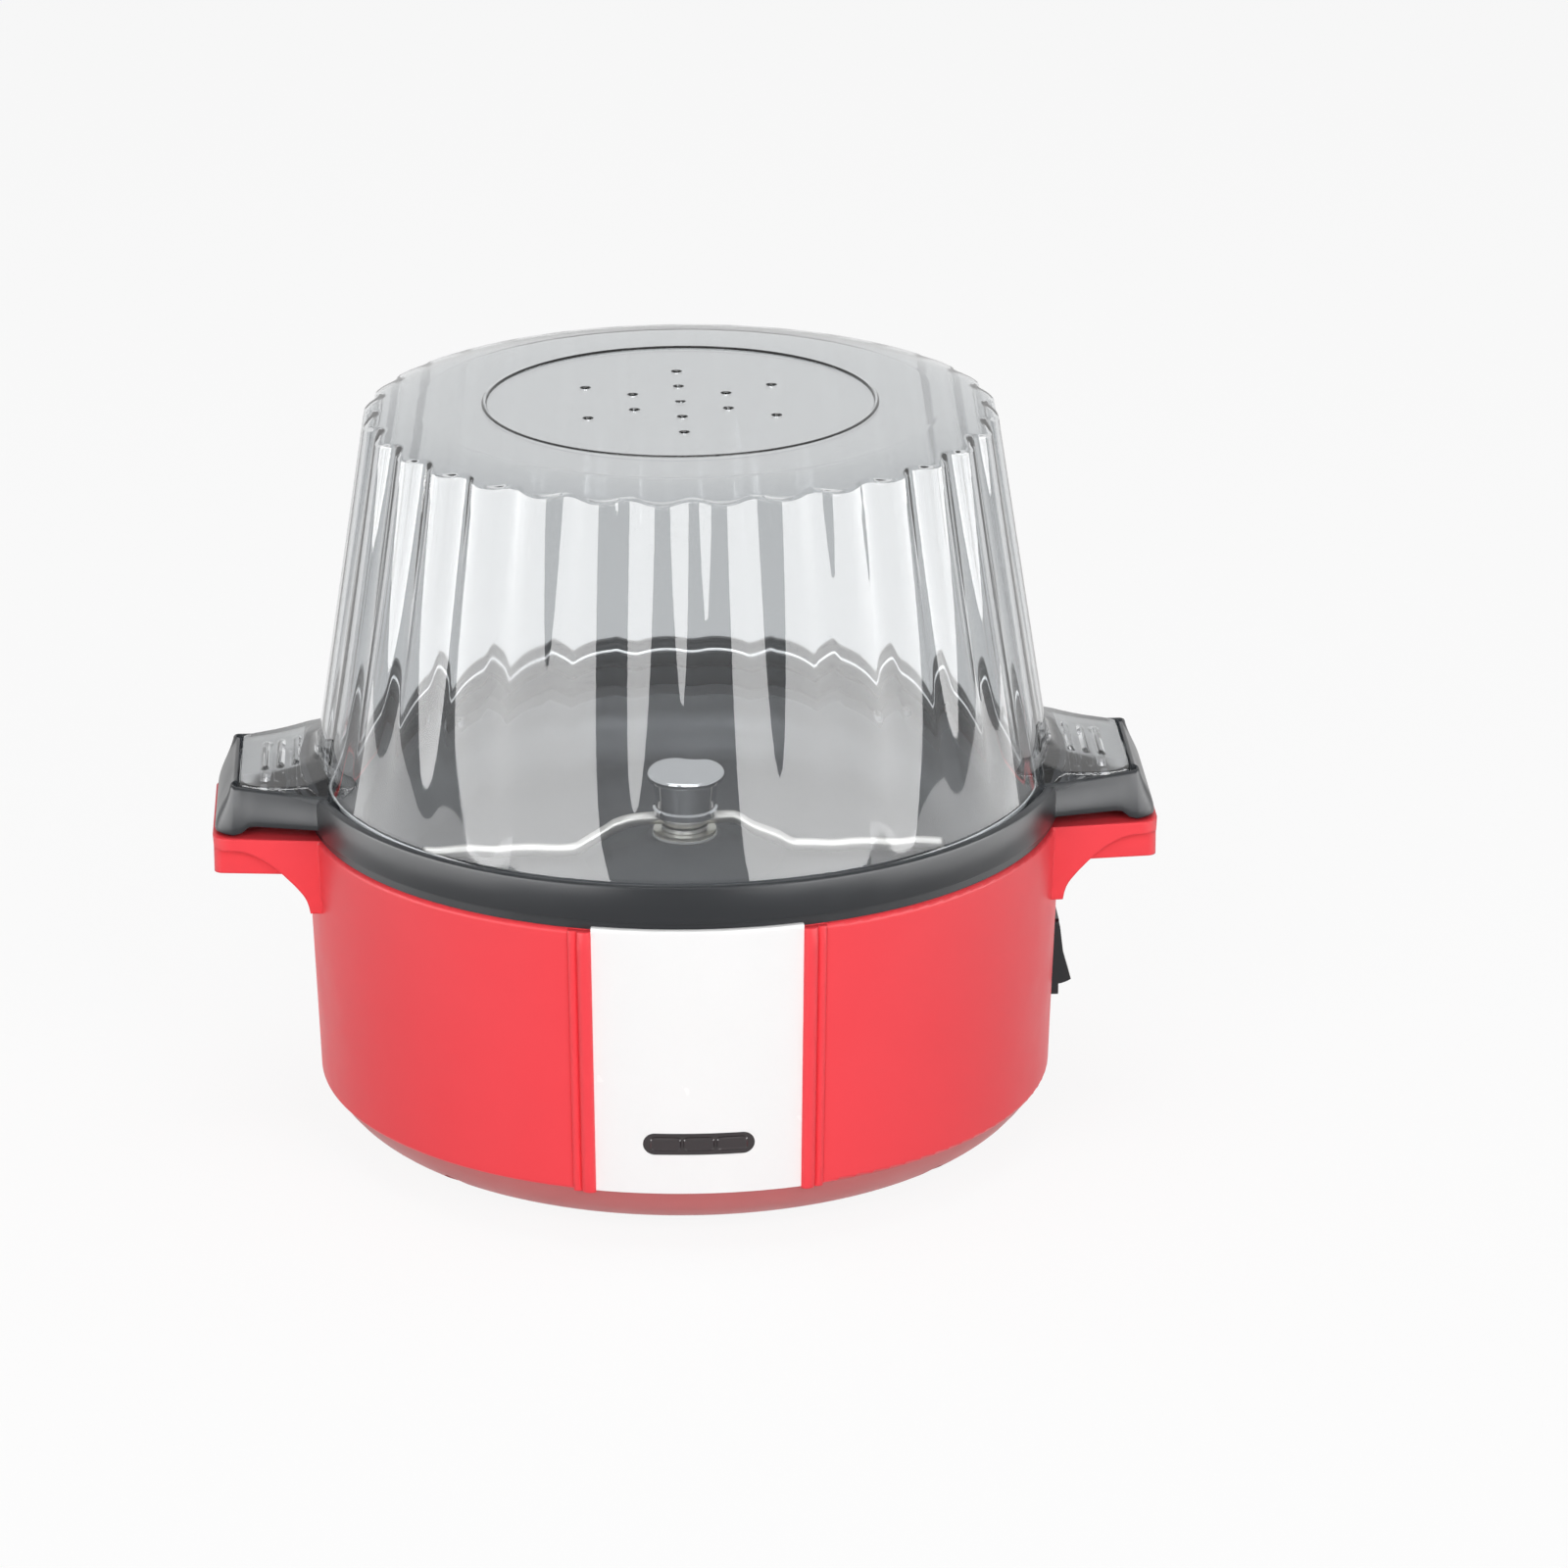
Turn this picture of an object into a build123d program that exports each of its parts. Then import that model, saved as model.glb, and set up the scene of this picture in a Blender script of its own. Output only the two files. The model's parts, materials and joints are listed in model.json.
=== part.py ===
from build123d import *
import math
import os

os.makedirs("parts", exist_ok=True)

# All sizes are in millimetres. The origin is at the middle of the footprint on the table.
# +Z is up, the white panel faces -Y and the switch is on the +X side.

# Red housing
HEIGHT = 240.0
SHELL_Z0 = 19.0
SHELL_Z1 = 106.5
SHELL_R0 = 117.7
SHELL_R1 = 121.0
WALL = 2.6
EDGE_R = 1.6

# Wings of the housing and ears of the lid
WING_REACH = 29.0
WING_ROOT_HALF = 31.5
WING_TIP_HALF = 28.5
WING_SHEET = 3.0

# Front panel, its trim and the indicator lens
PANEL_HALF_DEG = 15.6
TRIM_HALF_DEG = 19.1
POCKET_DEPTH = 1.4
TRIM_PROUD = 2.4
LENS_W = 34.5
LENS_H = 7.2
LENS_Z = 36.3
LENS_LIP = 2.5

# Pan
LEDGE_DROP = 2.5
LEDGE_T = 2.5
GASKET_T = 1.0
PAN_SHEET = 1.5
PAN_DEPTH = 19.0
PAN_RIM_GAP = 5.4
PAN_RIM_W = 10.0
PAN_CORNER = 16.5
BOSS_RISE = 7.5
BOSS_R = 12.0
BOSS_FOOT_R = 32.0
SCREW_R = 1.4

# What hangs below the pan
HEATER_R = 62.0
HEATER_TUBE_R = 3.3
HEATER_GAP_DEG = 30.0
STUD_PITCH_R = 78.0
STUD_R = 2.5
STUD_SHOULDER_R = 4.0
SHIELD_DROP = 16.0
SHIELD_T = 1.0
SHIELD_R = 98.0
SPACER_H = 8.0
BRACKET_T = 1.5
MOTOR_R = 25.0
MOTOR_H = 24.0
THERMOSTAT_X = -45.0
CUTOUT_X = 44.0

# Stirrer
SHAFT_R = 4.0
THREAD_R = 3.0
RUN_GAP = 0.06
BUSH_WALL = 1.44
SEAL_T = 0.6
FLANGE_T = 1.2
WIRE_R = 2.0
ARM_LIFT = 0.7
ARM_TIP_X = 84.0
NUT_H = 14.0
NUT_TOP_R = 13.0
NUT_DISC_T = 2.4
NUT_SKIRT_R = 10.6
NUT_WAIST_R = 9.4

# Lid
COLLAR_PROUD = 0.5
COLLAR_GAP = 3.0
COLLAR_H = 12.0
COLLAR_WALL = 2.5
RIM_W = 2.7
RIM_H = 3.1
LID_GAP = 0.4
SPIGOT_T = 1.7
EAR_RISE = 1.9
EAR_LEAN = 3.6
EAR_WALL = 1.6
TAB_T = 5.4
TAB_BLEND = 5.0
TAB_FLAT_HALF = 18.0
TAB_SLOPE = 0.3
TAB_RIB_PITCH = 4.9
FLUTES = 32
FLUTE_DEPTH = 2.4
DOME_WALL = 2.0
DOME_SHOULDER_R = 100.7
DOME_SHOULDER_DROP = 9.0
DOME_FLAT_R = 82.0
RECESS_R = 61.5
RECESS_DEPTH = 0.8
VENT_R = 1.2
VENT_PITCH_R = 17.0

# Switch at +X and cord gland at +Y
SWITCH_Z = 53.0
ROCKER_HALF = 10.3
ROCKER_W = 10.6
SWITCH_LIP = 2.0
SWITCH_SHELL = 0.7
FRAME_T = 2.6
SWITCH_DEPTH = 18.0
PIN_R = 0.9
GLAND_Z = 34.0
GLAND_BORE_R = 3.5
GLAND_R = 5.0
GLAND_FLANGE_R = 8.0
GLAND_FLANGE_T = 3.8

# Underside dish and feet
FOOT_H = 3.0
FOOT_R = 8.5
FOOT_STEM_R = 3.0
DISH_SHEET = 2.4
DISH_FLAT_R = 90.0
POST_R = 6.5
POST_INSET = 10.1
HEAD_R = 3.4

# Heights and radii that follow from the sizes above
LEDGE_Z = SHELL_Z1 - LEDGE_DROP
PAN_RIM_Z = LEDGE_Z + GASKET_T
PAN_RIM_R = SHELL_R1 - WALL - PAN_RIM_GAP
PAN_WALL_R = PAN_RIM_R - PAN_RIM_W
PAN_SCREW_PITCH_R = PAN_RIM_R - 2 * SCREW_R
PAN_FLOOR_Z = SHELL_Z1 - PAN_DEPTH
PAN_UNDER_Z = PAN_FLOOR_Z - PAN_SHEET
PAN_BOSS_Z = PAN_FLOOR_Z + BOSS_RISE
SHIELD_Z = PAN_UNDER_Z - SHIELD_DROP
BRACKET_Z = SHIELD_Z - SPACER_H - BRACKET_T
BUSH_BORE_R = SHAFT_R + RUN_GAP
BUSH_R = BUSH_BORE_R + BUSH_WALL
BUSH_TOP_Z = PAN_BOSS_Z + SEAL_T + FLANGE_T
EYE_SEAT_Z = BUSH_TOP_Z + 0.2 + FLANGE_T
EYE_Z = EYE_SEAT_Z + WIRE_R
ARM_Z = PAN_FLOOR_Z + ARM_LIFT + WIRE_R
NUT_Z = EYE_Z + WIRE_R
COLLAR_R = SHELL_R1 + COLLAR_PROUD
COLLAR_Z0 = SHELL_Z1 + COLLAR_GAP
COLLAR_Z1 = COLLAR_Z0 + COLLAR_H
SEAT_Z = COLLAR_Z1 - RIM_H
SEAT_R = COLLAR_R - RIM_W
LEDGE_R = PAN_RIM_R - 6.0
WING_TIP_X = SHELL_R1 + WING_REACH
EAR_TIP_X = WING_TIP_X - 2.0
EAR_TOP_X = EAR_TIP_X - EAR_LEAN
TAB_TIP_X = EAR_TOP_X - EAR_WALL
DISH_Z = FOOT_H
DISH_TOP_Z = DISH_Z + DISH_SHEET
DISH_RIM_R = SHELL_R0 - POCKET_DEPTH - 0.2
POST_PITCH_R = SHELL_R0 - WALL - POST_INSET
POST_Z = SHELL_Z0 + 7.0
FOOT_PITCH_R = DISH_FLAT_R - FOOT_R - 1.5


def shell_r(z):
    """Outer radius of the red housing at a height."""
    return SHELL_R0 + (SHELL_R1 - SHELL_R0) * (z - SHELL_Z0) / (SHELL_Z1 - SHELL_Z0)


# Flat seats cut into the round housing
SWITCH_PAD_X = shell_r(SWITCH_Z - ROCKER_HALF - SWITCH_LIP) - 0.5
PIVOT_X = SWITCH_PAD_X + FRAME_T / 2
GLAND_PAD_Y = shell_r(GLAND_Z - GLAND_FLANGE_R) - 0.6
GLAND_SEAT_Y = GLAND_PAD_Y - 1.6 * WALL


def around(radius, count, start=0.0):
    """Evenly spaced points on a circle, as (x, y)."""
    angles = [math.radians(start + 360.0 * k / count) for k in range(count)]
    return [(radius * math.cos(a), radius * math.sin(a)) for a in angles]


POST_PLACES = around(POST_PITCH_R, 4, 45)
FOOT_PLACES = around(FOOT_PITCH_R, 4, 45)
PAN_SCREW_PLACES = around(PAN_SCREW_PITCH_R, 4, 45)
STUD_PLACES = around(STUD_PITCH_R, 3, 30)
EAR_X = MOTOR_R + 5.0
MOTOR_EAR_PLACES = [(-EAR_X, 0), (EAR_X, 0)]
LID_SCREW_X = (COLLAR_R + TAB_TIP_X) / 2
LID_SCREW_PLACES = [(sx * LID_SCREW_X, sy * 14) for sx in (-1, 1) for sy in (-1, 1)]
HEATER_END_DEG = (90 - HEATER_GAP_DEG / 2, 90 + HEATER_GAP_DEG / 2)
HEATER_ENDS = [around(HEATER_R, 1, angle)[0] for angle in HEATER_END_DEG]


def turned(points):
    """A solid of revolution about Z from (radius, height) points."""
    with BuildPart() as body:
        with BuildSketch(Plane.XZ):
            with BuildLine():
                Polyline(*points, close=True)
            make_face()
        revolve(axis=Axis.Z)
    return body.part


def wall_sector(inner, outer, z0, z1, deg0, deg1):
    """A strip that follows the housing wall between two offsets from its outer face.

    The angles are measured from the front, -Y, towards +X.
    """
    start = math.radians(deg0)
    lower = shell_r(z0)
    upper = shell_r(z1)
    out = (math.sin(start), -math.cos(start), 0)
    across = (-math.cos(start), -math.sin(start), 0)
    with BuildPart() as body:
        with BuildSketch(Plane(origin=(0, 0, 0), x_dir=out, z_dir=across)):
            with BuildLine():
                Polyline(
                    (lower + inner, z0),
                    (lower + outer, z0),
                    (upper + outer, z1),
                    (upper + inner, z1),
                    close=True,
                )
            make_face()
        revolve(axis=Axis.Z, revolution_arc=deg1 - deg0)
    return body.part


def rods(radius, z0, z1, places):
    """Upright round bars at (x, y) places."""
    with BuildPart() as body:
        with BuildSketch(Plane.XY.offset(z0)):
            with Locations(*places):
                Circle(radius)
        extrude(amount=z1 - z0)
    return body.part


def screws(z_tip, z_seat, head_r, head_h, places):
    """Cross-head screws with the head above the seat, or below it when head_h is negative."""
    crown = z_seat + head_h
    with BuildPart() as body:
        add(rods(SCREW_R, min(z_tip, z_seat), max(z_tip, z_seat), places))
        add(rods(head_r, min(z_seat, crown), max(z_seat, crown), places))
        with BuildSketch(Plane.XY.offset(crown)):
            with Locations(*places):
                Rectangle(head_r, 0.7)
                Rectangle(0.7, head_r)
        extrude(amount=-0.5 * head_h, mode=Mode.SUBTRACT)
    return body.part


def tab_block(inset, tip_x, z0, z1):
    """An upright block on the plan of a wing or ear at +X, drawn in from its sides by an inset."""
    slope = (WING_ROOT_HALF - WING_TIP_HALF) / WING_REACH
    root_x = SHELL_R1 - 21
    tip_half = WING_TIP_HALF + slope * (WING_TIP_X - tip_x) - 1.1 * inset
    root_half = tip_half + slope * (tip_x - root_x)
    with BuildPart() as body:
        with BuildSketch(Plane.XY.offset(z0)) as plan:
            with BuildLine():
                Polyline(
                    (root_x, -root_half),
                    (tip_x, -tip_half),
                    (tip_x, tip_half),
                    (root_x, root_half),
                    close=True,
                )
            make_face()
            fillet(plan.vertices().group_by(Axis.X)[-1], max(6.0 - inset, 1.5))
        extrude(amount=z1 - z0)
    return body.part


def both_sides(solid):
    """A solid at +X together with its mirror image at -X."""
    with BuildPart() as body:
        add(solid)
        mirror(about=Plane.YZ)
    return body.part


def wing():
    """One wing of the housing at +X: curved brackets at its front and back and a hollow grip between."""
    root = SHELL_R1 - 21
    low = SHELL_Z1 - 24.5
    edge = SHELL_Z1 - 4.0
    with BuildPart() as body:
        with BuildSketch(Plane.XZ):
            with BuildLine():
                Polyline(
                    (root, low),
                    (root, SHELL_Z1),
                    (WING_TIP_X, SHELL_Z1),
                    (WING_TIP_X - 0.4, edge),
                    (WING_TIP_X - 7, edge),
                )
                Spline(
                    (WING_TIP_X - 7, edge),
                    (SHELL_R1 + 14, edge - 2.3),
                    (SHELL_R1 + 6.7, edge - 7.8),
                    (SHELL_R1 + 1.5, edge - 13.3),
                    (SHELL_R1 - 1.5, low),
                    tangents=((-1, 0), (-0.15, -1)),
                )
                Line((SHELL_R1 - 1.5, low), (root, low))
            make_face()
        extrude(amount=2 * WING_ROOT_HALF, both=True)
        add(tab_block(0, WING_TIP_X, low, SHELL_Z1), mode=Mode.INTERSECT)
        add(tab_block(WING_SHEET, WING_TIP_X - 0.2, SHELL_Z1 - 12.5, SHELL_Z1 - 2))
        grip = tab_block(2 * WING_SHEET, WING_TIP_X - 1.2 * WING_SHEET, low - 1, SHELL_Z1 - WING_SHEET)
        add(grip, mode=Mode.SUBTRACT)
    return body.part


def base_shell():
    """Red housing with its wings, panel pocket, switch and gland seats and screw bosses."""
    inner0 = SHELL_R0 - WALL
    inner1 = SHELL_R1 - WALL
    pan_boss_z = LEDGE_Z - LEDGE_T - 11.5
    rib = POST_INSET + 0.7 * WALL
    with BuildPart() as housing:
        add(both_sides(wing()))
        inside = turned([(0, SHELL_Z0), (inner0, SHELL_Z0), (inner1, SHELL_Z1), (0, SHELL_Z1)])
        add(inside, mode=Mode.SUBTRACT)
        with BuildSketch(Plane.XZ) as ring:
            with BuildLine():
                Polyline(
                    (inner0, SHELL_Z0),
                    (SHELL_R0, SHELL_Z0),
                    (SHELL_R1, SHELL_Z1),
                    (inner1, SHELL_Z1),
                    (shell_r(LEDGE_Z) - WALL, LEDGE_Z),
                    (LEDGE_R, LEDGE_Z),
                    (LEDGE_R, LEDGE_Z - LEDGE_T),
                    (shell_r(LEDGE_Z - LEDGE_T) - WALL, LEDGE_Z - LEDGE_T),
                    close=True,
                )
            make_face()
            rim = ring.vertices().sort_by_distance((SHELL_R1, SHELL_Z1))[0]
            foot = ring.vertices().sort_by_distance((SHELL_R0, SHELL_Z0))[0]
            fillet([rim, foot], EDGE_R)
        revolve(axis=Axis.Z)
        # Bosses for the pan screws under the ledge.
        add(rods(SCREW_R + WALL, pan_boss_z, LEDGE_Z, PAN_SCREW_PLACES))
        add(rods(SCREW_R, pan_boss_z + 1.5, LEDGE_Z, PAN_SCREW_PLACES), mode=Mode.SUBTRACT)
        # Bosses for the dish screws, each on a rib from the wall.
        add(rods(SCREW_R + 4, POST_Z, POST_Z + 24, POST_PLACES))
        with BuildSketch(Plane.XY.offset(POST_Z)):
            with PolarLocations(POST_PITCH_R + rib / 2, 4, 45):
                Rectangle(rib, WALL)
        extrude(amount=24)
        add(rods(SCREW_R, POST_Z, POST_Z + 20, POST_PLACES), mode=Mode.SUBTRACT)
        # Pocket for the white panel and its trim, and the window for the lens.
        pocket = wall_sector(-POCKET_DEPTH, 5, SHELL_Z0, SHELL_Z1, -TRIM_HALF_DEG, TRIM_HALF_DEG)
        add(pocket, mode=Mode.SUBTRACT)
        with BuildSketch(Plane.XZ):
            with Locations((0, LENS_Z)):
                SlotOverall(LENS_W, LENS_H)
        extrude(amount=SHELL_R1 + 10, mode=Mode.SUBTRACT)
        # Flat seat and hole for the switch.
        with BuildSketch(Plane.YZ.offset(SWITCH_PAD_X)):
            with Locations((0, SWITCH_Z)):
                Rectangle(ROCKER_W + 6, 2 * (ROCKER_HALF + SWITCH_LIP) + 2)
        extrude(amount=10, mode=Mode.SUBTRACT)
        with BuildSketch(Plane.YZ.offset(SWITCH_PAD_X - 10)):
            with Locations((0, SWITCH_Z)):
                Rectangle(ROCKER_W + 0.4 + 2 * SWITCH_SHELL, 2 * (ROCKER_HALF + SWITCH_SHELL))
        extrude(amount=20, mode=Mode.SUBTRACT)
        # Flat seats inside and outside the wall and a hole for the cord gland.
        with BuildSketch(Plane.XZ.offset(-GLAND_SEAT_Y)):
            with Locations((0, GLAND_Z)):
                Circle(GLAND_FLANGE_R + 1.5)
        extrude(amount=GLAND_SEAT_Y - GLAND_PAD_Y + 0.5)
        with BuildSketch(Plane.XZ.offset(-GLAND_PAD_Y)):
            with Locations((0, GLAND_Z)):
                Circle(GLAND_FLANGE_R + 0.3)
        extrude(amount=-10, mode=Mode.SUBTRACT)
        with BuildSketch(Plane.XZ.offset(-GLAND_SEAT_Y + 5)):
            with Locations((0, GLAND_Z)):
                Circle(GLAND_R)
        extrude(amount=-20, mode=Mode.SUBTRACT)
    return housing.part


def front_panel():
    """White panel in the pocket, with the slot for the lens."""
    with BuildPart() as panel:
        add(wall_sector(-POCKET_DEPTH, 0.2, SHELL_Z0 + 0.6, SHELL_Z1 - 0.6, -PANEL_HALF_DEG, PANEL_HALF_DEG))
        with BuildSketch(Plane.XZ):
            with Locations((0, LENS_Z)):
                SlotOverall(LENS_W, LENS_H)
        extrude(amount=SHELL_R1 + 10, mode=Mode.SUBTRACT)
    return panel.part


def panel_trim(side):
    """One raised trim strip beside the panel, with a groove along it. Side is -1 or 1."""
    edges = sorted((side * PANEL_HALF_DEG, side * TRIM_HALF_DEG))
    share = 0.4 * PANEL_HALF_DEG + 0.6 * TRIM_HALF_DEG
    groove = sorted((side * (share - 0.15), side * (share + 0.15)))
    with BuildPart() as trim:
        add(wall_sector(-POCKET_DEPTH, TRIM_PROUD, SHELL_Z0, SHELL_Z1 - 0.4, edges[0], edges[1]))
        long_edges = trim.edges().filter_by(lambda e: e.length > 0.8 * (SHELL_Z1 - SHELL_Z0))
        fillet(long_edges.sort_by_distance((0, 0, SHELL_Z0))[-2:], 0.5 * TRIM_PROUD)
        cut = wall_sector(TRIM_PROUD - 0.8, TRIM_PROUD + 1, SHELL_Z0, SHELL_Z1, groove[0], groove[1])
        add(cut, mode=Mode.SUBTRACT)
    return trim.part


def lens_stage(inner, outer, grow, rounded):
    """One step of the lens, following the housing wall."""
    with BuildPart() as body:
        add(wall_sector(inner, outer, LENS_Z - 2 * LENS_H, LENS_Z + 2 * LENS_H, -30, 30))
        with BuildSketch(Plane.XZ):
            with Locations((0, LENS_Z)):
                if rounded:
                    SlotOverall(LENS_W + grow, LENS_H + grow)
                else:
                    Rectangle(LENS_W + grow, LENS_H + grow)
        extrude(amount=SHELL_R1 + 10, mode=Mode.INTERSECT)
    return body.part


def indicator_lens():
    """Dark lens: a window in the slot and a flange behind the housing wall."""
    with BuildPart() as lens:
        add(lens_stage(-WALL, 0, 0, True))
        add(lens_stage(-WALL - 1.4, -WALL, 2 * LENS_LIP, False))
    return lens.part


def indicator_lamps():
    """Holder behind the lens with three small lamps."""
    back = shell_r(LENS_Z) - WALL - 1.4
    lamp_x = [k * LENS_W / 3 for k in (-1, 0, 1)]
    with BuildPart() as lamps:
        with BuildSketch(Plane.XZ.offset(back - 14)):
            with Locations((0, LENS_Z)):
                Rectangle(LENS_W + 2, LENS_H + 2 * LENS_LIP)
        extrude(amount=4)
        with BuildSketch(Plane.XZ.offset(back - 10)):
            with Locations((-LENS_W / 2, LENS_Z), (LENS_W / 2, LENS_Z)):
                Rectangle(2, LENS_H + 2 * LENS_LIP)
        extrude(amount=12)
        with BuildSketch(Plane.XZ.offset(back - 10)):
            with Locations(*[(x, LENS_Z) for x in lamp_x]):
                Circle(0.35 * LENS_H)
        extrude(amount=8)
        wall = wall_sector(-WALL - 1.4, 5, LENS_Z - 2 * LENS_H, LENS_Z + 2 * LENS_H, -30, 30)
        add(wall, mode=Mode.SUBTRACT)
    return lamps.part


def bottom_dish():
    """Underside dish with posts for its screws, vents and holes for the feet."""
    spigot_r = SHELL_R0 - WALL - 0.1
    rim_z = SHELL_Z0 + 4
    with BuildPart() as under:
        with BuildSketch(Plane.XZ):
            with BuildLine():
                TangentArc((DISH_FLAT_R, DISH_Z), (DISH_RIM_R, SHELL_Z0), tangent=(1, 0))
                Polyline(
                    (DISH_RIM_R, SHELL_Z0),
                    (DISH_RIM_R, SHELL_Z0 + 20),
                    (0, SHELL_Z0 + 20),
                    (0, DISH_Z),
                    (DISH_FLAT_R, DISH_Z),
                )
            make_face()
        revolve(axis=Axis.Z)
    with BuildPart() as dish:
        with BuildSketch(Plane.XZ):
            with BuildLine():
                TangentArc((DISH_FLAT_R, DISH_Z), (DISH_RIM_R, SHELL_Z0), tangent=(1, 0))
                Polyline(
                    (DISH_RIM_R, SHELL_Z0),
                    (spigot_r, SHELL_Z0),
                    (spigot_r, rim_z),
                    (spigot_r - DISH_SHEET, rim_z),
                    (spigot_r - DISH_SHEET, SHELL_Z0 - 1),
                )
                TangentArc((DISH_FLAT_R, DISH_TOP_Z), (spigot_r - DISH_SHEET, SHELL_Z0 - 1), tangent=(1, 0))
                Polyline((DISH_FLAT_R, DISH_TOP_Z), (0, DISH_TOP_Z), (0, DISH_Z), (DISH_FLAT_R, DISH_Z))
            make_face()
        revolve(axis=Axis.Z)
        # Posts up to the bosses of the housing, open from below for the screw heads.
        add(rods(POST_R, DISH_Z, POST_Z, POST_PLACES))
        add(under.part, mode=Mode.INTERSECT)
        add(rods(HEAD_R + 0.8, 0, POST_Z - 9, POST_PLACES), mode=Mode.SUBTRACT)
        add(rods(SCREW_R + 0.4, DISH_Z, POST_Z, POST_PLACES), mode=Mode.SUBTRACT)
        add(rods(FOOT_STEM_R, 0, DISH_TOP_Z, FOOT_PLACES), mode=Mode.SUBTRACT)
        with BuildSketch(Plane.XY.offset(DISH_Z)):
            with PolarLocations(0.5 * DISH_FLAT_R, 12, 15):
                SlotOverall(0.3 * DISH_FLAT_R, 3.2)
        extrude(amount=DISH_SHEET, mode=Mode.SUBTRACT)
    return dish.part


def rubber_feet():
    """Four feet, each with a stem and a barb through the dish."""
    barb = FOOT_STEM_R + 1
    with BuildPart() as feet:
        add(rods(FOOT_R, 0, DISH_Z, FOOT_PLACES))
        chamfer(feet.faces().filter_by(Plane.XY).group_by(Axis.Z)[0].edges(), 0.8)
        add(rods(FOOT_STEM_R, DISH_Z, DISH_TOP_Z + 2, FOOT_PLACES))
        add(rods(barb, DISH_TOP_Z, DISH_TOP_Z + 1.5, FOOT_PLACES))
    return feet.part


def popping_pan():
    """Pressed pan with a raised centre boss and a flat rim."""
    corner = PAN_WALL_R - PAN_CORNER
    top = PAN_FLOOR_Z + PAN_CORNER - 1
    rim = PAN_RIM_Z + PAN_SHEET
    out = PAN_WALL_R + PAN_SHEET
    with BuildPart() as pan:
        with BuildSketch(Plane.XZ):
            with BuildLine():
                Polyline(
                    (BUSH_R, PAN_BOSS_Z),
                    (BOSS_R, PAN_BOSS_Z),
                    (BOSS_FOOT_R, PAN_FLOOR_Z),
                    (corner, PAN_FLOOR_Z),
                )
                TangentArc((corner, PAN_FLOOR_Z), (PAN_WALL_R - 0.5, top), tangent=(1, 0))
                Polyline(
                    (PAN_WALL_R - 0.5, top),
                    (PAN_WALL_R, rim),
                    (PAN_RIM_R, rim),
                    (PAN_RIM_R, PAN_RIM_Z),
                    (out, PAN_RIM_Z),
                    (out - 0.5, top),
                )
                TangentArc((corner, PAN_UNDER_Z), (out - 0.5, top), tangent=(1, 0))
                Polyline(
                    (corner, PAN_UNDER_Z),
                    (BOSS_FOOT_R - 0.4, PAN_UNDER_Z),
                    (BOSS_R - 0.3, PAN_BOSS_Z - PAN_SHEET),
                    (BUSH_R, PAN_BOSS_Z - PAN_SHEET),
                    (BUSH_R, PAN_BOSS_Z),
                )
            make_face()
        revolve(axis=Axis.Z)
        add(rods(SCREW_R + 0.3, PAN_RIM_Z, rim, PAN_SCREW_PLACES), mode=Mode.SUBTRACT)
    return pan.part


def pan_gasket():
    """Soft ring between the pan rim and the ledge of the housing."""
    inner = LEDGE_R + 0.4
    with BuildPart() as gasket:
        add(turned([(inner, LEDGE_Z), (PAN_RIM_R, LEDGE_Z), (PAN_RIM_R, PAN_RIM_Z), (inner, PAN_RIM_Z)]))
        add(rods(SCREW_R + 0.3, LEDGE_Z, PAN_RIM_Z, PAN_SCREW_PLACES), mode=Mode.SUBTRACT)
    return gasket.part


def heating_element():
    """Open ring of sheathed tube under the pan, with its two ends turned down to pins."""
    z = PAN_UNDER_Z - HEATER_TUBE_R
    x, y = HEATER_ENDS[1]
    with BuildPart() as element:
        with BuildLine():
            CenterArc((0, 0, z), HEATER_R, HEATER_END_DEG[1], 360 - HEATER_GAP_DEG)
        with BuildSketch(Plane(origin=(x, y, z), z_dir=(-y, x, 0))):
            Circle(HEATER_TUBE_R)
        sweep()
        with Locations(*[(x, y, z) for x, y in HEATER_ENDS]):
            Sphere(HEATER_TUBE_R)
        add(rods(HEATER_TUBE_R, SHIELD_Z + SHIELD_T + 2, z, HEATER_ENDS))
        add(rods(1.6, SHIELD_Z - 5, SHIELD_Z + SHIELD_T + 2, HEATER_ENDS))
    return element.part


def thermostat():
    """Snap-disc thermostat on the underside of the pan, with two blades."""
    place = [(THERMOSTAT_X, 0)]
    with BuildPart() as stat:
        add(rods(8.0, PAN_UNDER_Z - 3, PAN_UNDER_Z, place))
        add(rods(6.8, PAN_UNDER_Z - 9, PAN_UNDER_Z - 3, place))
        with BuildSketch(Plane.XY.offset(PAN_UNDER_Z - 9)):
            with Locations((THERMOSTAT_X, -4), (THERMOSTAT_X, 4)):
                Rectangle(5, 0.8)
        extrude(amount=-4)
    return stat.part


def thermal_cutout():
    """Cut-out capsule held against the pan by a strap."""
    r = 2.2
    with BuildPart() as cutout:
        with BuildSketch(Plane.XZ):
            with Locations((CUTOUT_X, PAN_UNDER_Z - r)):
                Circle(r)
        extrude(amount=8, both=True)
        with BuildSketch(Plane.XZ):
            with Locations((CUTOUT_X, PAN_UNDER_Z - r)):
                Circle(0.6)
        extrude(amount=14, both=True)
        with BuildSketch(Plane.XZ):
            with Locations((CUTOUT_X, PAN_UNDER_Z)):
                Rectangle(18, 1.2, align=(Align.CENTER, Align.MAX))
                Rectangle(7, 5.4, align=(Align.CENTER, Align.MAX))
        extrude(amount=2.5, both=True)
    return cutout.part


def pan_studs():
    """Shouldered studs welded under the pan, threaded below the shoulder."""
    with BuildPart() as studs:
        add(rods(STUD_SHOULDER_R, SHIELD_Z + SHIELD_T, PAN_UNDER_Z, STUD_PLACES))
        add(rods(STUD_R, BRACKET_Z - 5.5, SHIELD_Z + SHIELD_T, STUD_PLACES))
    return studs.part


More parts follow.
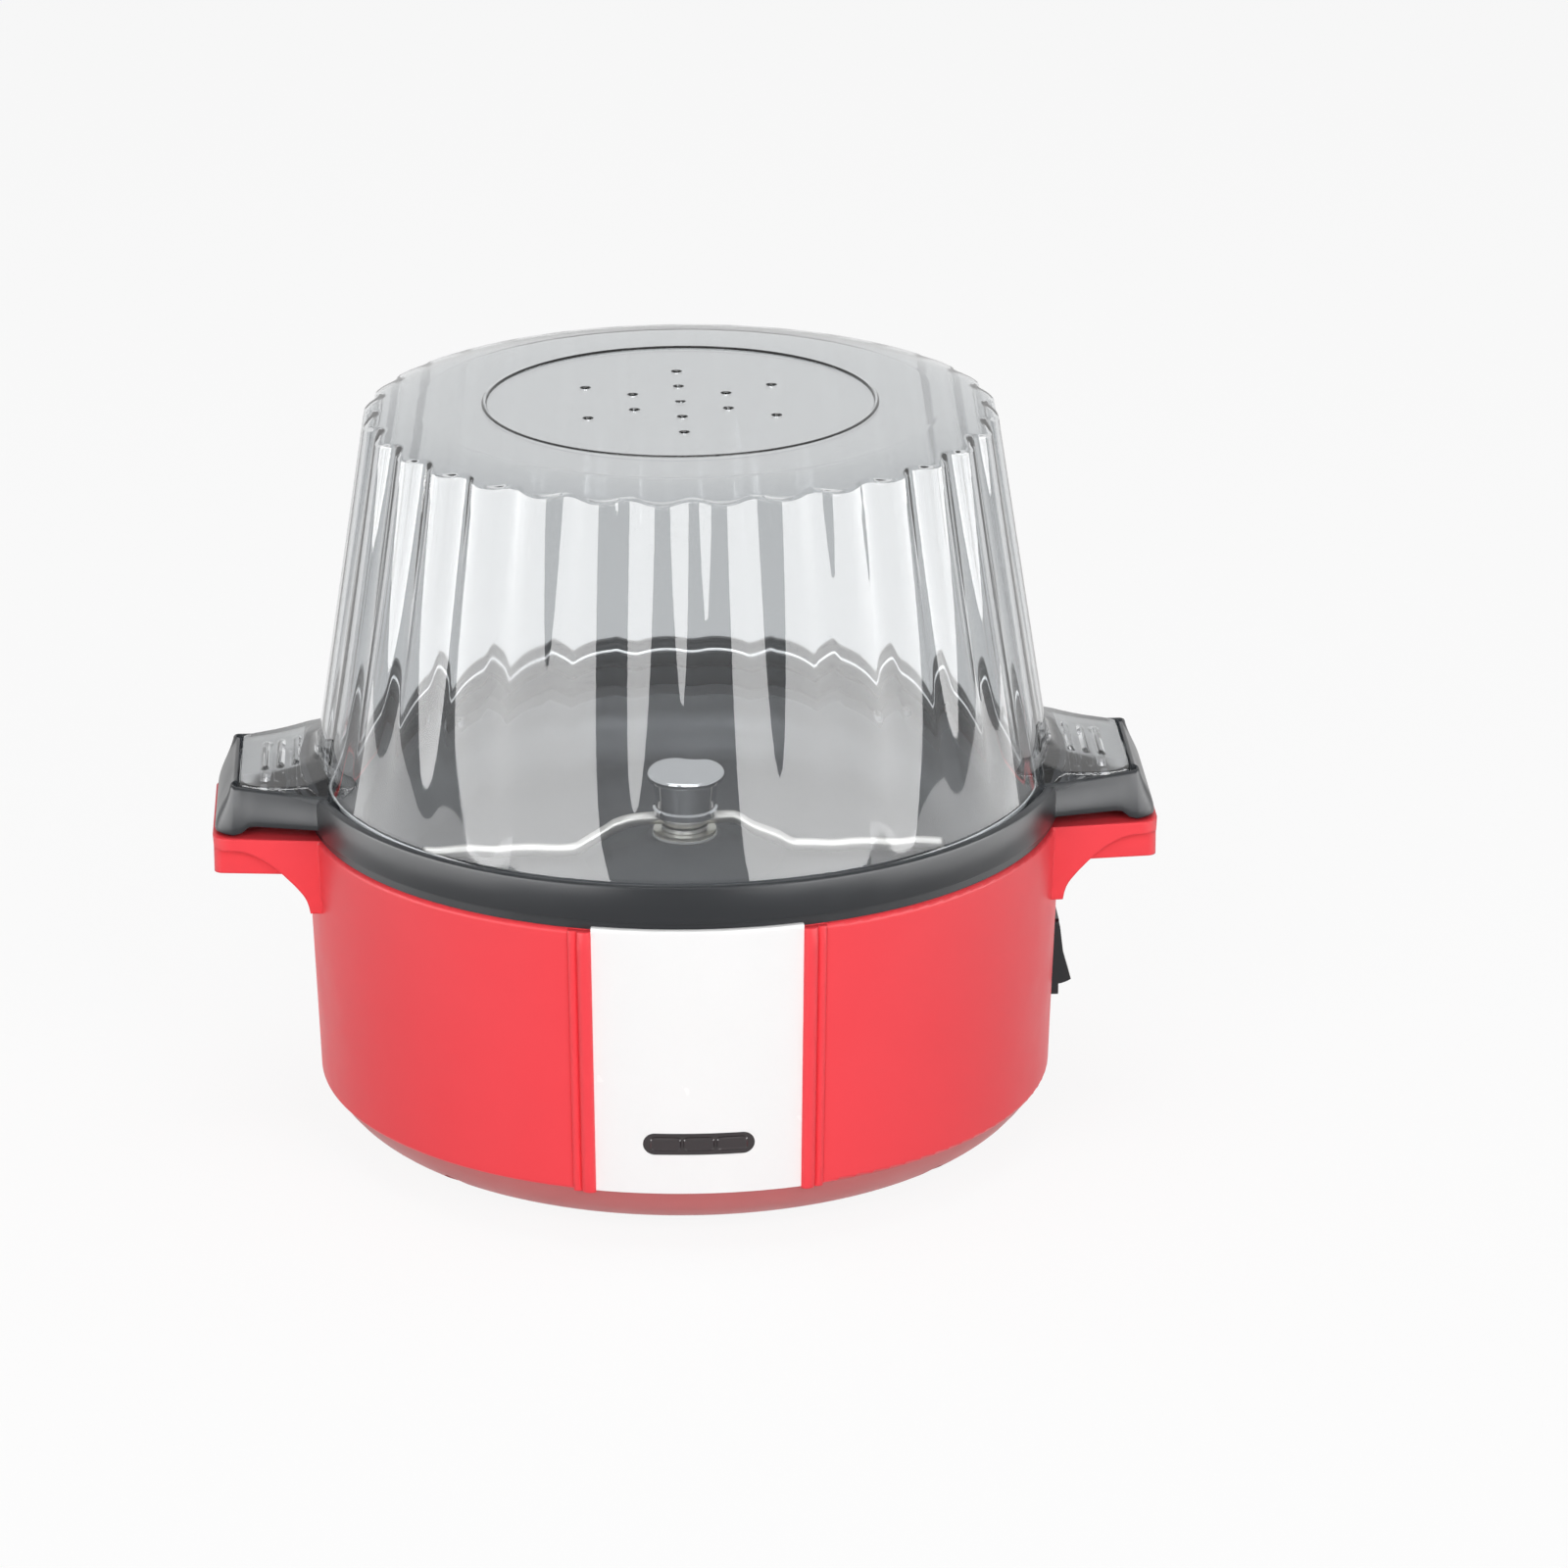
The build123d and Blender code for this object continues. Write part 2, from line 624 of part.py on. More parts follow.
def heat_shield():
    """Pressed tray below the heating element, with an upturned rim."""
    hole = SHAFT_R + 5
    top = SHIELD_Z + SHIELD_T
    in_r = SHIELD_R - SHIELD_T
    with BuildPart() as shield:
        rim = [(SHIELD_R, SHIELD_Z), (SHIELD_R, top + 5), (in_r, top + 5), (in_r, top)]
        add(turned([(hole, SHIELD_Z), *rim, (hole, top)]))
        add(rods(STUD_R, SHIELD_Z, top, STUD_PLACES), mode=Mode.SUBTRACT)
        add(rods(HEATER_TUBE_R + 1.5, SHIELD_Z, top, HEATER_ENDS), mode=Mode.SUBTRACT)
    return shield.part


def bracket_spacers():
    """Sleeves on the studs between the heat shield and the motor bracket."""
    with BuildPart() as sleeves:
        add(rods(STUD_R + 2, BRACKET_Z + BRACKET_T, SHIELD_Z, STUD_PLACES))
        add(rods(STUD_R, BRACKET_Z + BRACKET_T, SHIELD_Z, STUD_PLACES), mode=Mode.SUBTRACT)
    return sleeves.part


def bracket_nuts():
    """Hexagon nuts on the studs below the motor bracket."""
    with BuildPart() as nuts:
        with BuildSketch(Plane.XY.offset(BRACKET_Z)):
            with Locations(*STUD_PLACES):
                RegularPolygon(STUD_R + 2.1, 6)
                Circle(STUD_R, mode=Mode.SUBTRACT)
        extrude(amount=-3.6)
    return nuts.part


def motor_bracket():
    """Three-armed plate that carries the motor."""
    with BuildPart() as bracket:
        with BuildSketch(Plane.XY.offset(BRACKET_Z)):
            Circle(MOTOR_R + 11)
            with PolarLocations(STUD_PITCH_R / 2, 3, 30):
                SlotCenterToCenter(STUD_PITCH_R, 4 * STUD_R + 6)
            Circle(SHAFT_R + 5, mode=Mode.SUBTRACT)
            with Locations(*STUD_PLACES):
                Circle(STUD_R, mode=Mode.SUBTRACT)
            with Locations(*MOTOR_EAR_PLACES):
                Circle(SCREW_R, mode=Mode.SUBTRACT)
        extrude(amount=BRACKET_T)
    return bracket.part


def gear_motor():
    """Flat geared motor with two ears, a lead box and a round output socket."""
    base = BRACKET_Z - MOTOR_H
    with BuildPart() as motor:
        add(rods(MOTOR_R - 0.5, base, BRACKET_Z - 9, [(0, 0)]))
        fillet(motor.faces().sort_by(Axis.Z)[0].edges(), 2)
        add(rods(MOTOR_R, BRACKET_Z - 9, BRACKET_Z, [(0, 0)]))
        with BuildSketch(Plane.XY.offset(BRACKET_Z)):
            SlotCenterToCenter(2 * EAR_X, 3 * SCREW_R + 5)
        extrude(amount=-2)
        with BuildSketch(Plane.XY.offset(base + 3)):
            with Locations((0, -MOTOR_R)):
                Rectangle(14, 8)
        extrude(amount=10)
        add(rods(SHAFT_R + 3, BRACKET_Z, BRACKET_Z + 4, [(0, 0)]))
        add(rods(BUSH_BORE_R, base + 8, BRACKET_Z + 4, [(0, 0)]), mode=Mode.SUBTRACT)
        add(rods(SCREW_R, BRACKET_Z - 2, BRACKET_Z, MOTOR_EAR_PLACES), mode=Mode.SUBTRACT)
    return motor.part


def shaft_seal():
    """Soft washer between the pan boss and the flange of the bush."""
    top = PAN_BOSS_Z + SEAL_T
    outer = BOSS_R - 1.5
    return turned([(BUSH_R, PAN_BOSS_Z), (outer, PAN_BOSS_Z), (outer, top), (BUSH_R, top)])


def shaft_bush():
    """Flanged bush in the pan boss."""
    z = PAN_BOSS_Z + SEAL_T
    low = PAN_BOSS_Z - PAN_SHEET - 6
    outer = BOSS_R - 2
    flange = [(BUSH_R, z), (outer, z), (outer, BUSH_TOP_Z)]
    return turned([(BUSH_BORE_R, low), (BUSH_R, low), *flange, (BUSH_BORE_R, BUSH_TOP_Z)])


def bush_nut():
    """Nut on the bush under the pan boss."""
    with BuildPart() as nut:
        with BuildSketch(Plane.XY.offset(PAN_BOSS_Z - PAN_SHEET)):
            RegularPolygon(BOSS_R - 2, 6)
            Circle(BUSH_R, mode=Mode.SUBTRACT)
        extrude(amount=-4)
    return nut.part


def drive_shaft():
    """Shaft from the motor socket up to the thumb nut, with a flange under the stirrer's eye."""
    low = BRACKET_Z - MOTOR_H + 8.5
    flange = THREAD_R + 2 * WIRE_R
    top = NUT_Z + NUT_H - 4
    return turned(
        [
            (0, low),
            (SHAFT_R, low),
            (SHAFT_R, EYE_SEAT_Z - FLANGE_T),
            (flange, EYE_SEAT_Z - FLANGE_T),
            (flange, EYE_SEAT_Z),
            (THREAD_R, EYE_SEAT_Z),
            (THREAD_R, top),
            (0, top),
        ]
    )


def stir_rod():
    """Bent wire stirrer: an eye round the shaft and an arm to each side."""
    eye = THREAD_R + 0.1 + WIRE_R
    with BuildPart() as rod:
        with BuildLine(Plane.XZ):
            FilletPolyline(
                (ARM_TIP_X, ARM_Z),
                (BOSS_FOOT_R + 3, ARM_Z),
                (BOSS_R + 5, EYE_Z),
                (eye, EYE_Z),
                radius=3 * WIRE_R,
            )
        with BuildSketch(Plane(origin=(ARM_TIP_X, 0, ARM_Z), z_dir=(-1, 0, 0))):
            Circle(WIRE_R)
        sweep()
        fillet(rod.faces().sort_by(Axis.X)[-1].edges(), 0.6 * WIRE_R)
        mirror(about=Plane.YZ)
        with Locations((0, 0, EYE_Z)):
            Torus(eye, WIRE_R)
    return rod.part


def thumb_nut():
    """Chrome nut on the thread of the shaft: a disc on a tapered skirt with a ring at its foot."""
    top = NUT_Z + NUT_H
    disc = top - NUT_DISC_T
    with BuildPart() as nut:
        with BuildSketch(Plane.XZ) as outline:
            with BuildLine():
                Polyline(
                    (THREAD_R, NUT_Z),
                    (NUT_SKIRT_R - 0.2, NUT_Z),
                    (NUT_SKIRT_R - 0.2, NUT_Z + 1.8),
                    (NUT_WAIST_R, NUT_Z + 2.3),
                    (NUT_SKIRT_R, disc),
                    (NUT_TOP_R, disc),
                    (NUT_TOP_R, top),
                    (0, top),
                    (0, top - 4),
                    (THREAD_R, top - 4),
                    close=True,
                )
            make_face()
            fillet(outline.vertices().sort_by_distance((NUT_TOP_R, top))[0], 0.45 * NUT_DISC_T)
            fillet(outline.vertices().sort_by_distance((NUT_TOP_R, disc))[0], 0.4 * NUT_DISC_T)
        revolve(axis=Axis.Z)
    return nut.part


def flute_ring(radius, depth, z):
    """Closed outline at a height, with rounded lobes and narrower valleys. A valley faces the front."""
    pitch = 2 * math.pi / FLUTES
    side = radius - 0.6 * depth

    def at(r, turn):
        return (r * math.cos(turn * pitch), r * math.sin(turn * pitch))

    with BuildSketch(Plane.XY.offset(z)) as ring:
        with BuildLine():
            for k in range(FLUTES):
                ThreePointArc(at(side, k + 0.18), at(radius, k + 0.5), at(side, k + 0.82))
                ThreePointArc(at(side, k + 0.82), at(radius - depth, k + 1), at(side, k + 1.18))
        make_face()
    return ring.sketch


def dome_skin(wall):
    """Solid inside one face of the dome: a fluted cone under a rounded shoulder, drawn in by a wall."""
    foot = SEAT_R - LID_GAP - 0.2
    crown = HEIGHT - wall
    flat = DOME_FLAT_R - 0.4 * wall
    slope = (foot - DOME_SHOULDER_R) / (HEIGHT - DOME_SHOULDER_DROP - SEAT_Z)
    # Height and flute depth of each ring. The upper one is above the shoulder, which cuts it.
    rows = ((SEAT_Z, 0.02), (HEIGHT + 4, FLUTE_DEPTH))
    rings = [flute_ring(foot - slope * (z - SEAT_Z) - wall, depth, z) for z, depth in rows]
    with BuildPart() as body:
        loft(rings, ruled=True)
        with BuildSketch(Plane.XZ):
            with BuildLine():
                Polyline((flat, crown), (0, crown), (0, SEAT_Z), (foot + 9, SEAT_Z))
                Line((foot + 9, SEAT_Z), (flat + 20, crown - 11.5))
                ThreePointArc((flat + 20, crown - 11.5), (flat + 11, crown - 2.7), (flat, crown))
            make_face()
        revolve(axis=Axis.Z, mode=Mode.INTERSECT)
    return body.part


def clear_tab():
    """One tab of the dome at +X: front and back edges that slope down, and a blend up to the wall."""
    foot = SEAT_R - LID_GAP - 0.2
    top = SEAT_Z + TAB_T
    peak = top + TAB_SLOPE * TAB_FLAT_HALF
    half = WING_ROOT_HALF + 1
    eave = peak - TAB_SLOPE * half
    bend = foot - 0.6
    dip = 0.3 * TAB_BLEND
    with BuildPart() as tab:
        add(tab_block(EAR_WALL + 0.4, TAB_TIP_X - 0.4, SEAT_Z, top + TAB_BLEND))
        with BuildSketch(Plane.XZ):
            with BuildLine():
                Polyline(
                    (bend, top + TAB_BLEND),
                    (foot - 12, top + TAB_BLEND),
                    (foot - 12, SEAT_Z),
                    (WING_TIP_X + 40, SEAT_Z),
                    (WING_TIP_X + 40, top),
                    (bend + TAB_BLEND, top),
                )
                ThreePointArc((bend + TAB_BLEND, top), (bend + dip, top + dip), (bend, top + TAB_BLEND))
            make_face()
        revolve(axis=Axis.Z, mode=Mode.INTERSECT)
        with BuildSketch(Plane.YZ):
            with BuildLine():
                Polyline((-half, SEAT_Z), (half, SEAT_Z), (half, eave), (0, peak), (-half, eave), close=True)
            make_face()
        extrude(amount=WING_TIP_X, mode=Mode.INTERSECT)
        with BuildSketch(Plane.XY.offset(top)):
            with Locations((TAB_TIP_X - 13.4, 0)):
                with GridLocations(TAB_RIB_PITCH, 0, 3, 1):
                    RectangleRounded(1.6, 20, 0.7)
        extrude(amount=0.8)
    return tab.part


def dome():
    """Clear fluted dome with a foot ring, two ribbed tabs, a recessed top and vent holes."""
    face = HEIGHT - RECESS_DEPTH
    foot = SEAT_R - LID_GAP / 2
    with BuildPart() as clear:
        add(dome_skin(0))
        add(both_sides(clear_tab()))
        add(turned([(foot - 4, SEAT_Z), (foot, SEAT_Z), (foot, SEAT_Z + 2.2), (foot - 4, SEAT_Z + 2.2)]))
        add(dome_skin(DOME_WALL), mode=Mode.SUBTRACT)
        add(rods(RECESS_R, face, HEIGHT, [(0, 0)]), mode=Mode.SUBTRACT)
        vents = around(VENT_PITCH_R, 6, 30) + around(2 * VENT_PITCH_R, 6, 30)
        add(rods(VENT_R, face - DOME_WALL, face, vents), mode=Mode.SUBTRACT)
        add(rods(1.5, face - 0.5, face + 0.4, [(0, 0)]))
        add(rods(SCREW_R, SEAT_Z, SEAT_Z + TAB_T - 1.8, LID_SCREW_PLACES), mode=Mode.SUBTRACT)
    return clear.part


def ear():
    """One black ear of the collar at +X: a tray for the clear tab, hollow and arched below."""
    root = SHELL_R1 - 21
    leg = SHELL_Z1 + 0.9
    with BuildPart() as body:
        with BuildSketch(Plane.XZ):
            with BuildLine():
                Polyline(
                    (root, COLLAR_Z0 + 0.7),
                    (EAR_TIP_X - 10.5, COLLAR_Z0 + 1.7),
                    (EAR_TIP_X - 5.5, leg),
                    (EAR_TIP_X, leg),
                    (EAR_TOP_X, COLLAR_Z1 + EAR_RISE),
                    (SEAT_R, COLLAR_Z1),
                    (root, COLLAR_Z1),
                    close=True,
                )
            make_face()
        extrude(amount=2 * WING_ROOT_HALF, both=True)
        add(tab_block(0, EAR_TIP_X, SHELL_Z1, COLLAR_Z1 + 10), mode=Mode.INTERSECT)
        add(tab_block(COLLAR_WALL, EAR_TOP_X - 0.3, SHELL_Z1, SEAT_Z - COLLAR_WALL), mode=Mode.SUBTRACT)
    return body.part


def collar_ring():
    """Black collar of the lid with its two ears and a spigot that drops into the housing."""
    under = SEAT_Z - COLLAR_WALL
    inner = COLLAR_R - COLLAR_WALL
    mouth = PAN_RIM_R - 0.5
    spigot = SHELL_R1 - WALL - LID_GAP
    with BuildPart() as collar:
        add(both_sides(ear()))
        add(rods(inner, SHELL_Z1, under, [(0, 0)]), mode=Mode.SUBTRACT)
        add(rods(mouth, under, SEAT_Z, [(0, 0)]), mode=Mode.SUBTRACT)
        with BuildSketch(Plane.XZ) as ring:
            with BuildLine():
                Polyline(
                    (COLLAR_R, COLLAR_Z0),
                    (COLLAR_R, COLLAR_Z1),
                    (SEAT_R, COLLAR_Z1),
                    (SEAT_R, SEAT_Z),
                    (mouth, SEAT_Z),
                    (mouth, under),
                    (inner, under),
                    (inner, COLLAR_Z0 + 2.2),
                    (spigot - SPIGOT_T, COLLAR_Z0 + 2.2),
                    (spigot - SPIGOT_T, LEDGE_Z + 0.4),
                    (spigot, LEDGE_Z + 0.4),
                    (spigot, SHELL_Z1),
                    (COLLAR_R - RIM_W + 1, SHELL_Z1),
                    (COLLAR_R - RIM_W + 1, COLLAR_Z0),
                    close=True,
                )
            make_face()
            upper = ring.vertices().sort_by_distance((COLLAR_R, COLLAR_Z1))[0]
            lower = ring.vertices().sort_by_distance((COLLAR_R, COLLAR_Z0))[0]
            fillet([upper, lower], 0.9)
        revolve(axis=Axis.Z)
        # Room for the dome's foot and tabs.
        add(rods(SEAT_R, SEAT_Z, COLLAR_Z1 + 10, [(0, 0)]), mode=Mode.SUBTRACT)
        add(both_sides(tab_block(EAR_WALL, TAB_TIP_X, SEAT_Z, COLLAR_Z1 + 10)), mode=Mode.SUBTRACT)
        add(rods(SCREW_R + 0.3, under, SEAT_Z, LID_SCREW_PLACES), mode=Mode.SUBTRACT)
    return collar.part


def switch_frame():
    """Frame and housing of the rocker switch, open at the front, with three blades behind."""
    width = ROCKER_W + 0.4
    back = SWITCH_PAD_X - SWITCH_DEPTH
    with BuildPart() as frame:
        with BuildSketch(Plane.YZ.offset(SWITCH_PAD_X)):
            with Locations((0, SWITCH_Z)):
                RectangleRounded(ROCKER_W + 5.4, 2 * (ROCKER_HALF + SWITCH_LIP + 0.7), 1.5)
        extrude(amount=FRAME_T)
        with BuildSketch(Plane.YZ.offset(back)):
            with Locations((0, SWITCH_Z)):
                Rectangle(width + 2 * SWITCH_SHELL, 2 * (ROCKER_HALF + SWITCH_SHELL))
        extrude(amount=SWITCH_DEPTH)
        with BuildSketch(Plane.YZ.offset(back + 8)):
            with Locations((0, SWITCH_Z)):
                Rectangle(width, 2 * ROCKER_HALF)
        extrude(amount=SWITCH_DEPTH, mode=Mode.SUBTRACT)
        with BuildSketch(Plane.XZ):
            with Locations((PIVOT_X, SWITCH_Z)):
                Circle(PIN_R + RUN_GAP)
        extrude(amount=ROCKER_W / 2 + 1.7, both=True, mode=Mode.SUBTRACT)
        with BuildSketch(Plane.YZ.offset(back)):
            with Locations((0, SWITCH_Z)):
                with GridLocations(0, 7, 1, 3):
                    Rectangle(4.8, 0.8)
        extrude(amount=-8)
    return frame.part


def switch_rocker():
    """Rocker on a pin, with its lower nose standing out in the off position."""
    reach = ROCKER_HALF - 0.2

    def at(deg):
        turn = math.radians(deg)
        return (PIVOT_X + reach * math.cos(turn), SWITCH_Z + reach * math.sin(turn))

    dip = (PIVOT_X + 0.3 * reach, SWITCH_Z + 0.6)
    with BuildPart() as rocker:
        with BuildSketch(Plane.XZ):
            with BuildLine():
                ThreePointArc(at(-108), at(-82), at(-56.3))
                Polyline(at(-56.3), dip, at(79.2))
                ThreePointArc(at(79.2), at(93.6), at(108))
                Line(at(108), at(-108))
            make_face()
        extrude(amount=ROCKER_W / 2, both=True)
        with BuildSketch(Plane.XZ):
            with Locations((PIVOT_X, SWITCH_Z)):
                Circle(PIN_R)
        extrude(amount=ROCKER_W / 2 + 1.6, both=True)
    return rocker.part


def cord_gland():
    """Gland with a round flange outside the rear wall and a bore for a lead."""
    back = GLAND_SEAT_Y - 8
    front = GLAND_PAD_Y + GLAND_FLANGE_T
    with BuildPart() as gland:
        with BuildSketch(Plane.XZ.offset(-back)):
            with Locations((0, GLAND_Z)):
                Circle(GLAND_R)
        extrude(amount=back - GLAND_PAD_Y)
        with BuildSketch(Plane.XZ.offset(-GLAND_PAD_Y)):
            with Locations((0, GLAND_Z)):
                Circle(GLAND_FLANGE_R)
        extrude(amount=-GLAND_FLANGE_T)
        fillet(gland.faces().sort_by(Axis.Y)[-1].edges(), 1.2)
        with BuildSketch(Plane.XZ.offset(-back)):
            with Locations((0, GLAND_Z)):
                Circle(GLAND_BORE_R)
        extrude(amount=back - front, mode=Mode.SUBTRACT)
    return gland.part


def gland_nut():
    """Nut on the gland inside the wall."""
    with BuildPart() as nut:
        with BuildSketch(Plane.XZ.offset(-GLAND_SEAT_Y)):
            with Locations((0, GLAND_Z)):
                RegularPolygon(GLAND_FLANGE_R + 0.6, 6)
                Circle(GLAND_R, mode=Mode.SUBTRACT)
        extrude(amount=5)
    return nut.part


def terminal_block():
    """Three-way terminal block on the floor of the dish, with a screw well and a wire hole each way."""
    y = 72.0
    with BuildPart() as block:
        with BuildSketch(Plane.XY.offset(DISH_TOP_Z)):
            with Locations((0, y)):
                Rectangle(34, 18)
        extrude(amount=12)
        with BuildSketch(Plane.XY.offset(DISH_TOP_Z + 12)):
            with Locations((0, y)):
                with GridLocations(11, 0, 3, 1):
                    Circle(3.2)
        extrude(amount=-8, mode=Mode.SUBTRACT)
        with BuildSketch(Plane.XZ.offset(-y)):
            with Locations((0, DISH_TOP_Z + 5)):
                with GridLocations(11, 0, 3, 1):
                    Circle(2.0)
        extrude(amount=9, both=True, mode=Mode.SUBTRACT)
    return block.part


def pan_screws():
    """Screws that hold the pan rim and its gasket on the ledge."""
    return screws(LEDGE_Z - LEDGE_T - 9.5, PAN_RIM_Z + PAN_SHEET, 2 * SCREW_R, 1.8, PAN_SCREW_PLACES)


def dish_screws():
    """Screws up through the posts of the dish."""
    return screws(POST_Z + 16, POST_Z - 9, HEAD_R, -2.4, POST_PLACES)


def motor_screws():
    """Screws through the bracket into the ears of the motor."""
    return screws(BRACKET_Z - 2, BRACKET_Z + BRACKET_T, 2 * SCREW_R, 2.0, MOTOR_EAR_PLACES)


def lid_screws():
    """Screws up through the ears into the tabs of the dome."""
    return screws(SEAT_Z + TAB_T - 1.8, SEAT_Z - COLLAR_WALL, 2 * SCREW_R, -2.0, LID_SCREW_PLACES)


PIECES = {
    "base_shell": base_shell(),
    "front_panel": front_panel(),
    "panel_trim_left": panel_trim(-1),
    "panel_trim_right": panel_trim(1),
    "indicator_lens": indicator_lens(),
    "indicator_lamps": indicator_lamps(),
    "bottom_dish": bottom_dish(),
    "dish_screws": dish_screws(),
    "rubber_feet": rubber_feet(),
    "popping_pan": popping_pan(),
    "pan_gasket": pan_gasket(),
    "pan_screws": pan_screws(),
    "heating_element": heating_element(),
    "thermostat": thermostat(),
    "thermal_cutout": thermal_cutout(),
    "pan_studs": pan_studs(),
    "heat_shield": heat_shield(),
    "bracket_spacers": bracket_spacers(),
    "motor_bracket": motor_bracket(),
    "bracket_nuts": bracket_nuts(),
    "gear_motor": gear_motor(),
    "motor_screws": motor_screws(),
    "shaft_seal": shaft_seal(),
    "shaft_bush": shaft_bush(),
    "bush_nut": bush_nut(),
    "drive_shaft": drive_shaft(),
    "stir_rod": stir_rod(),
    "thumb_nut": thumb_nut(),
    "dome": dome(),
    "collar_ring": collar_ring(),
    "lid_screws": lid_screws(),
    "switch_frame": switch_frame(),
    "switch_rocker": switch_rocker(),
    "cord_gland": cord_gland(),
    "gland_nut": gland_nut(),
    "terminal_block": terminal_block(),
}

for name, piece in PIECES.items():
    piece.label = name
    export_step(piece, "parts/" + name + ".step")
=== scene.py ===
"""Looks of the popcorn maker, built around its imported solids. All lengths are in metres."""

import json
import math

import bmesh
import bpy
from mathutils import Matrix, Vector

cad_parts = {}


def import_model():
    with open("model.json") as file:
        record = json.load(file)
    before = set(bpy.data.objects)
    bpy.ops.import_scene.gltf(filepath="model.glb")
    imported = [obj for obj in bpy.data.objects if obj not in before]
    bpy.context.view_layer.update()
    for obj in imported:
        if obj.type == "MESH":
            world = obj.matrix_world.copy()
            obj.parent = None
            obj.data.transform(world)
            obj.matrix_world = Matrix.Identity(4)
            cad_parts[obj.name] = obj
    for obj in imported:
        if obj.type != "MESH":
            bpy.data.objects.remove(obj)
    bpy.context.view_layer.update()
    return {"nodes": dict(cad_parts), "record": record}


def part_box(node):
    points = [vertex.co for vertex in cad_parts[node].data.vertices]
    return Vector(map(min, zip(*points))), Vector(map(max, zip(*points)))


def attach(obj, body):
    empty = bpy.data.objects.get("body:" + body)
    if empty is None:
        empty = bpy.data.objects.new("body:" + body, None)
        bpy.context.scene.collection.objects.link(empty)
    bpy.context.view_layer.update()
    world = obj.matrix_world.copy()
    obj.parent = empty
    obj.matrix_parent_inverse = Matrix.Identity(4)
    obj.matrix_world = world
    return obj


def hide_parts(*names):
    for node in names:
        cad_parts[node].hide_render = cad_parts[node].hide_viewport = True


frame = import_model()
NODES = frame["nodes"]
SCENE = bpy.context.scene
MM = 0.001

# Camera at the photograph's viewing angle. The pixel values are in the 1600 pixel frame.
FRAME_PX = 1600
FOCAL_PX = 7000
AXIS_PX = 697
CAMERA_DISTANCE = 2.072
CAMERA_HEIGHT = 0.845
CAMERA_PITCH = 0.34
CAMERA_AZIMUTH = math.radians(-2)
CAMERA_ROLL = math.radians(-0.4)
CAMERA_REACH = 50
SENSOR_MM = 36

# Lamps: place, size across and up, and power in watts.
KEY_PLACE = (0.72, -1.7, 1.0)
KEY_TARGET = (0, 0, 0.12)
KEY_SIZE = (1.0, 1.0)
KEY_POWER = 15.4
TOP_PLACE = (0, -0.2, 1.9)
TOP_TARGET = (0, 0, 0.1)
TOP_SIZE = (1.4, 1.2)
TOP_POWER = 14
SCREEN_PLACES = {-1: (-1.4, -0.6), 1: (1.33, -0.75)}
SCREEN_Z = 0.26
SCREEN_SIZE = (2.9, 0.5)
SCREEN_POWER = 40
CARD_PLACE = (0.42, -0.1, 0.05)
CARD_SIZE = (0.5, 0.1)
CARD_POWER = 0.5

# Light from the background, and the floor with the share of white that it shows.
SKY_LIGHT = 0.16
FLOOR_HALF = 8
FLOOR_DROP = 0.5 * MM
FLOOR_GLOW = 0.9

# Wall of the clear dome. Its flutes deepen from nothing at the foot, and more so inside than outside.
FLUTES = 32
FLUTE_DEPTH = 2.4 * MM
FLUTE_CREST = 0.32
FLUTE_STEPS = 24
FLUTE_START = 4 * MM
INNER_FLUTE = 1.33
FOOT_WALL = 3.2 * MM
DOME_WALL = 1.8 * MM
FOOT_INSET = 3.3 * MM
FOOT_CHAMFER = (0.3 * MM, 0.4 * MM)
FLANGE_OUT = 0.4 * MM
FLANGE_H = 2.2 * MM
WALL_ROWS = 20
WALL_CROWDING = 1.4

# Shoulder and flat top of the dome. The bead and the nub are (out, up) points in millimetres.
SHOULDER_R = 100.7 * MM
SHOULDER_DROP = 9 * MM
SHOULDER_SLOPE = 0.06
SHOULDER_BEND = 20 * MM
SHOULDER_BEND_LIMIT = 0.999
SHOULDER_ROUND = 4.4 * MM
SHOULDER_ROWS = 11
INNER_SHOULDER_SHIFT = 0.4
OUTER_CORNER = 1.1 * MM
INNER_CORNER = 0.8 * MM
CORNER_ROWS = 5
FLAT_R = 82 * MM
RECESS_R = 61.5 * MM
RECESS_EDGE = 0.7 * MM
RECESS_DEPTH = 0.35 * MM
RECESS_BEAD = ((1.0, 0.0), (0.7, 0.25), (0.25, 0.4), (-0.25, 0.35), (-0.6, 0.0))
NUB = ((1.7, 0.0), (1.55, 0.3), (1.1, 0.42), (0.4, 0.45))
NUB_STEPS = 32
VENT_R = 1.2 * MM
VENT_PITCH = 17 * MM
VENT_ARMS = 6
VENT_FIRST_DEG = 30
VENT_CHAMFER = (0.6 * MM, 0.5 * MM)
VENT_STEPS = 24

# Tabs of the dome, over the ears of the collar.
TAB_TIP_INSET = 1.2 * MM
TAB_TIP_HALF = 25.2 * MM
TAB_ROOT_HALF = 32.6 * MM
TAB_CORNER = 7 * MM
TAB_RISE = 5.4 * MM
TAB_BLEND = 6 * MM
TAB_LIFT = 4.2 * MM
TAB_SWEEP = 24 * MM
TAB_SWEEP_POWER = 1.8
TAB_FILLET = 4 * MM
TAB_FILLET_FADE = 0.4
TAB_FLAT_HALF = 15 * MM
TAB_SLOPE = 0.06
TAB_EDGE_R = 1.0 * MM
TAB_EDGE_DROP = 0.8 * MM
TAB_RIB_SETBACK = 13 * MM
TAB_RIB_PITCH = 4.9 * MM
TAB_RIB_H = 0.8 * MM
TAB_RIB_HALF_WIDTHS = (0.4 * MM, 1.1 * MM)
TAB_RIB_HALF_LENGTH = 13 * MM
TAB_STEPS = 48

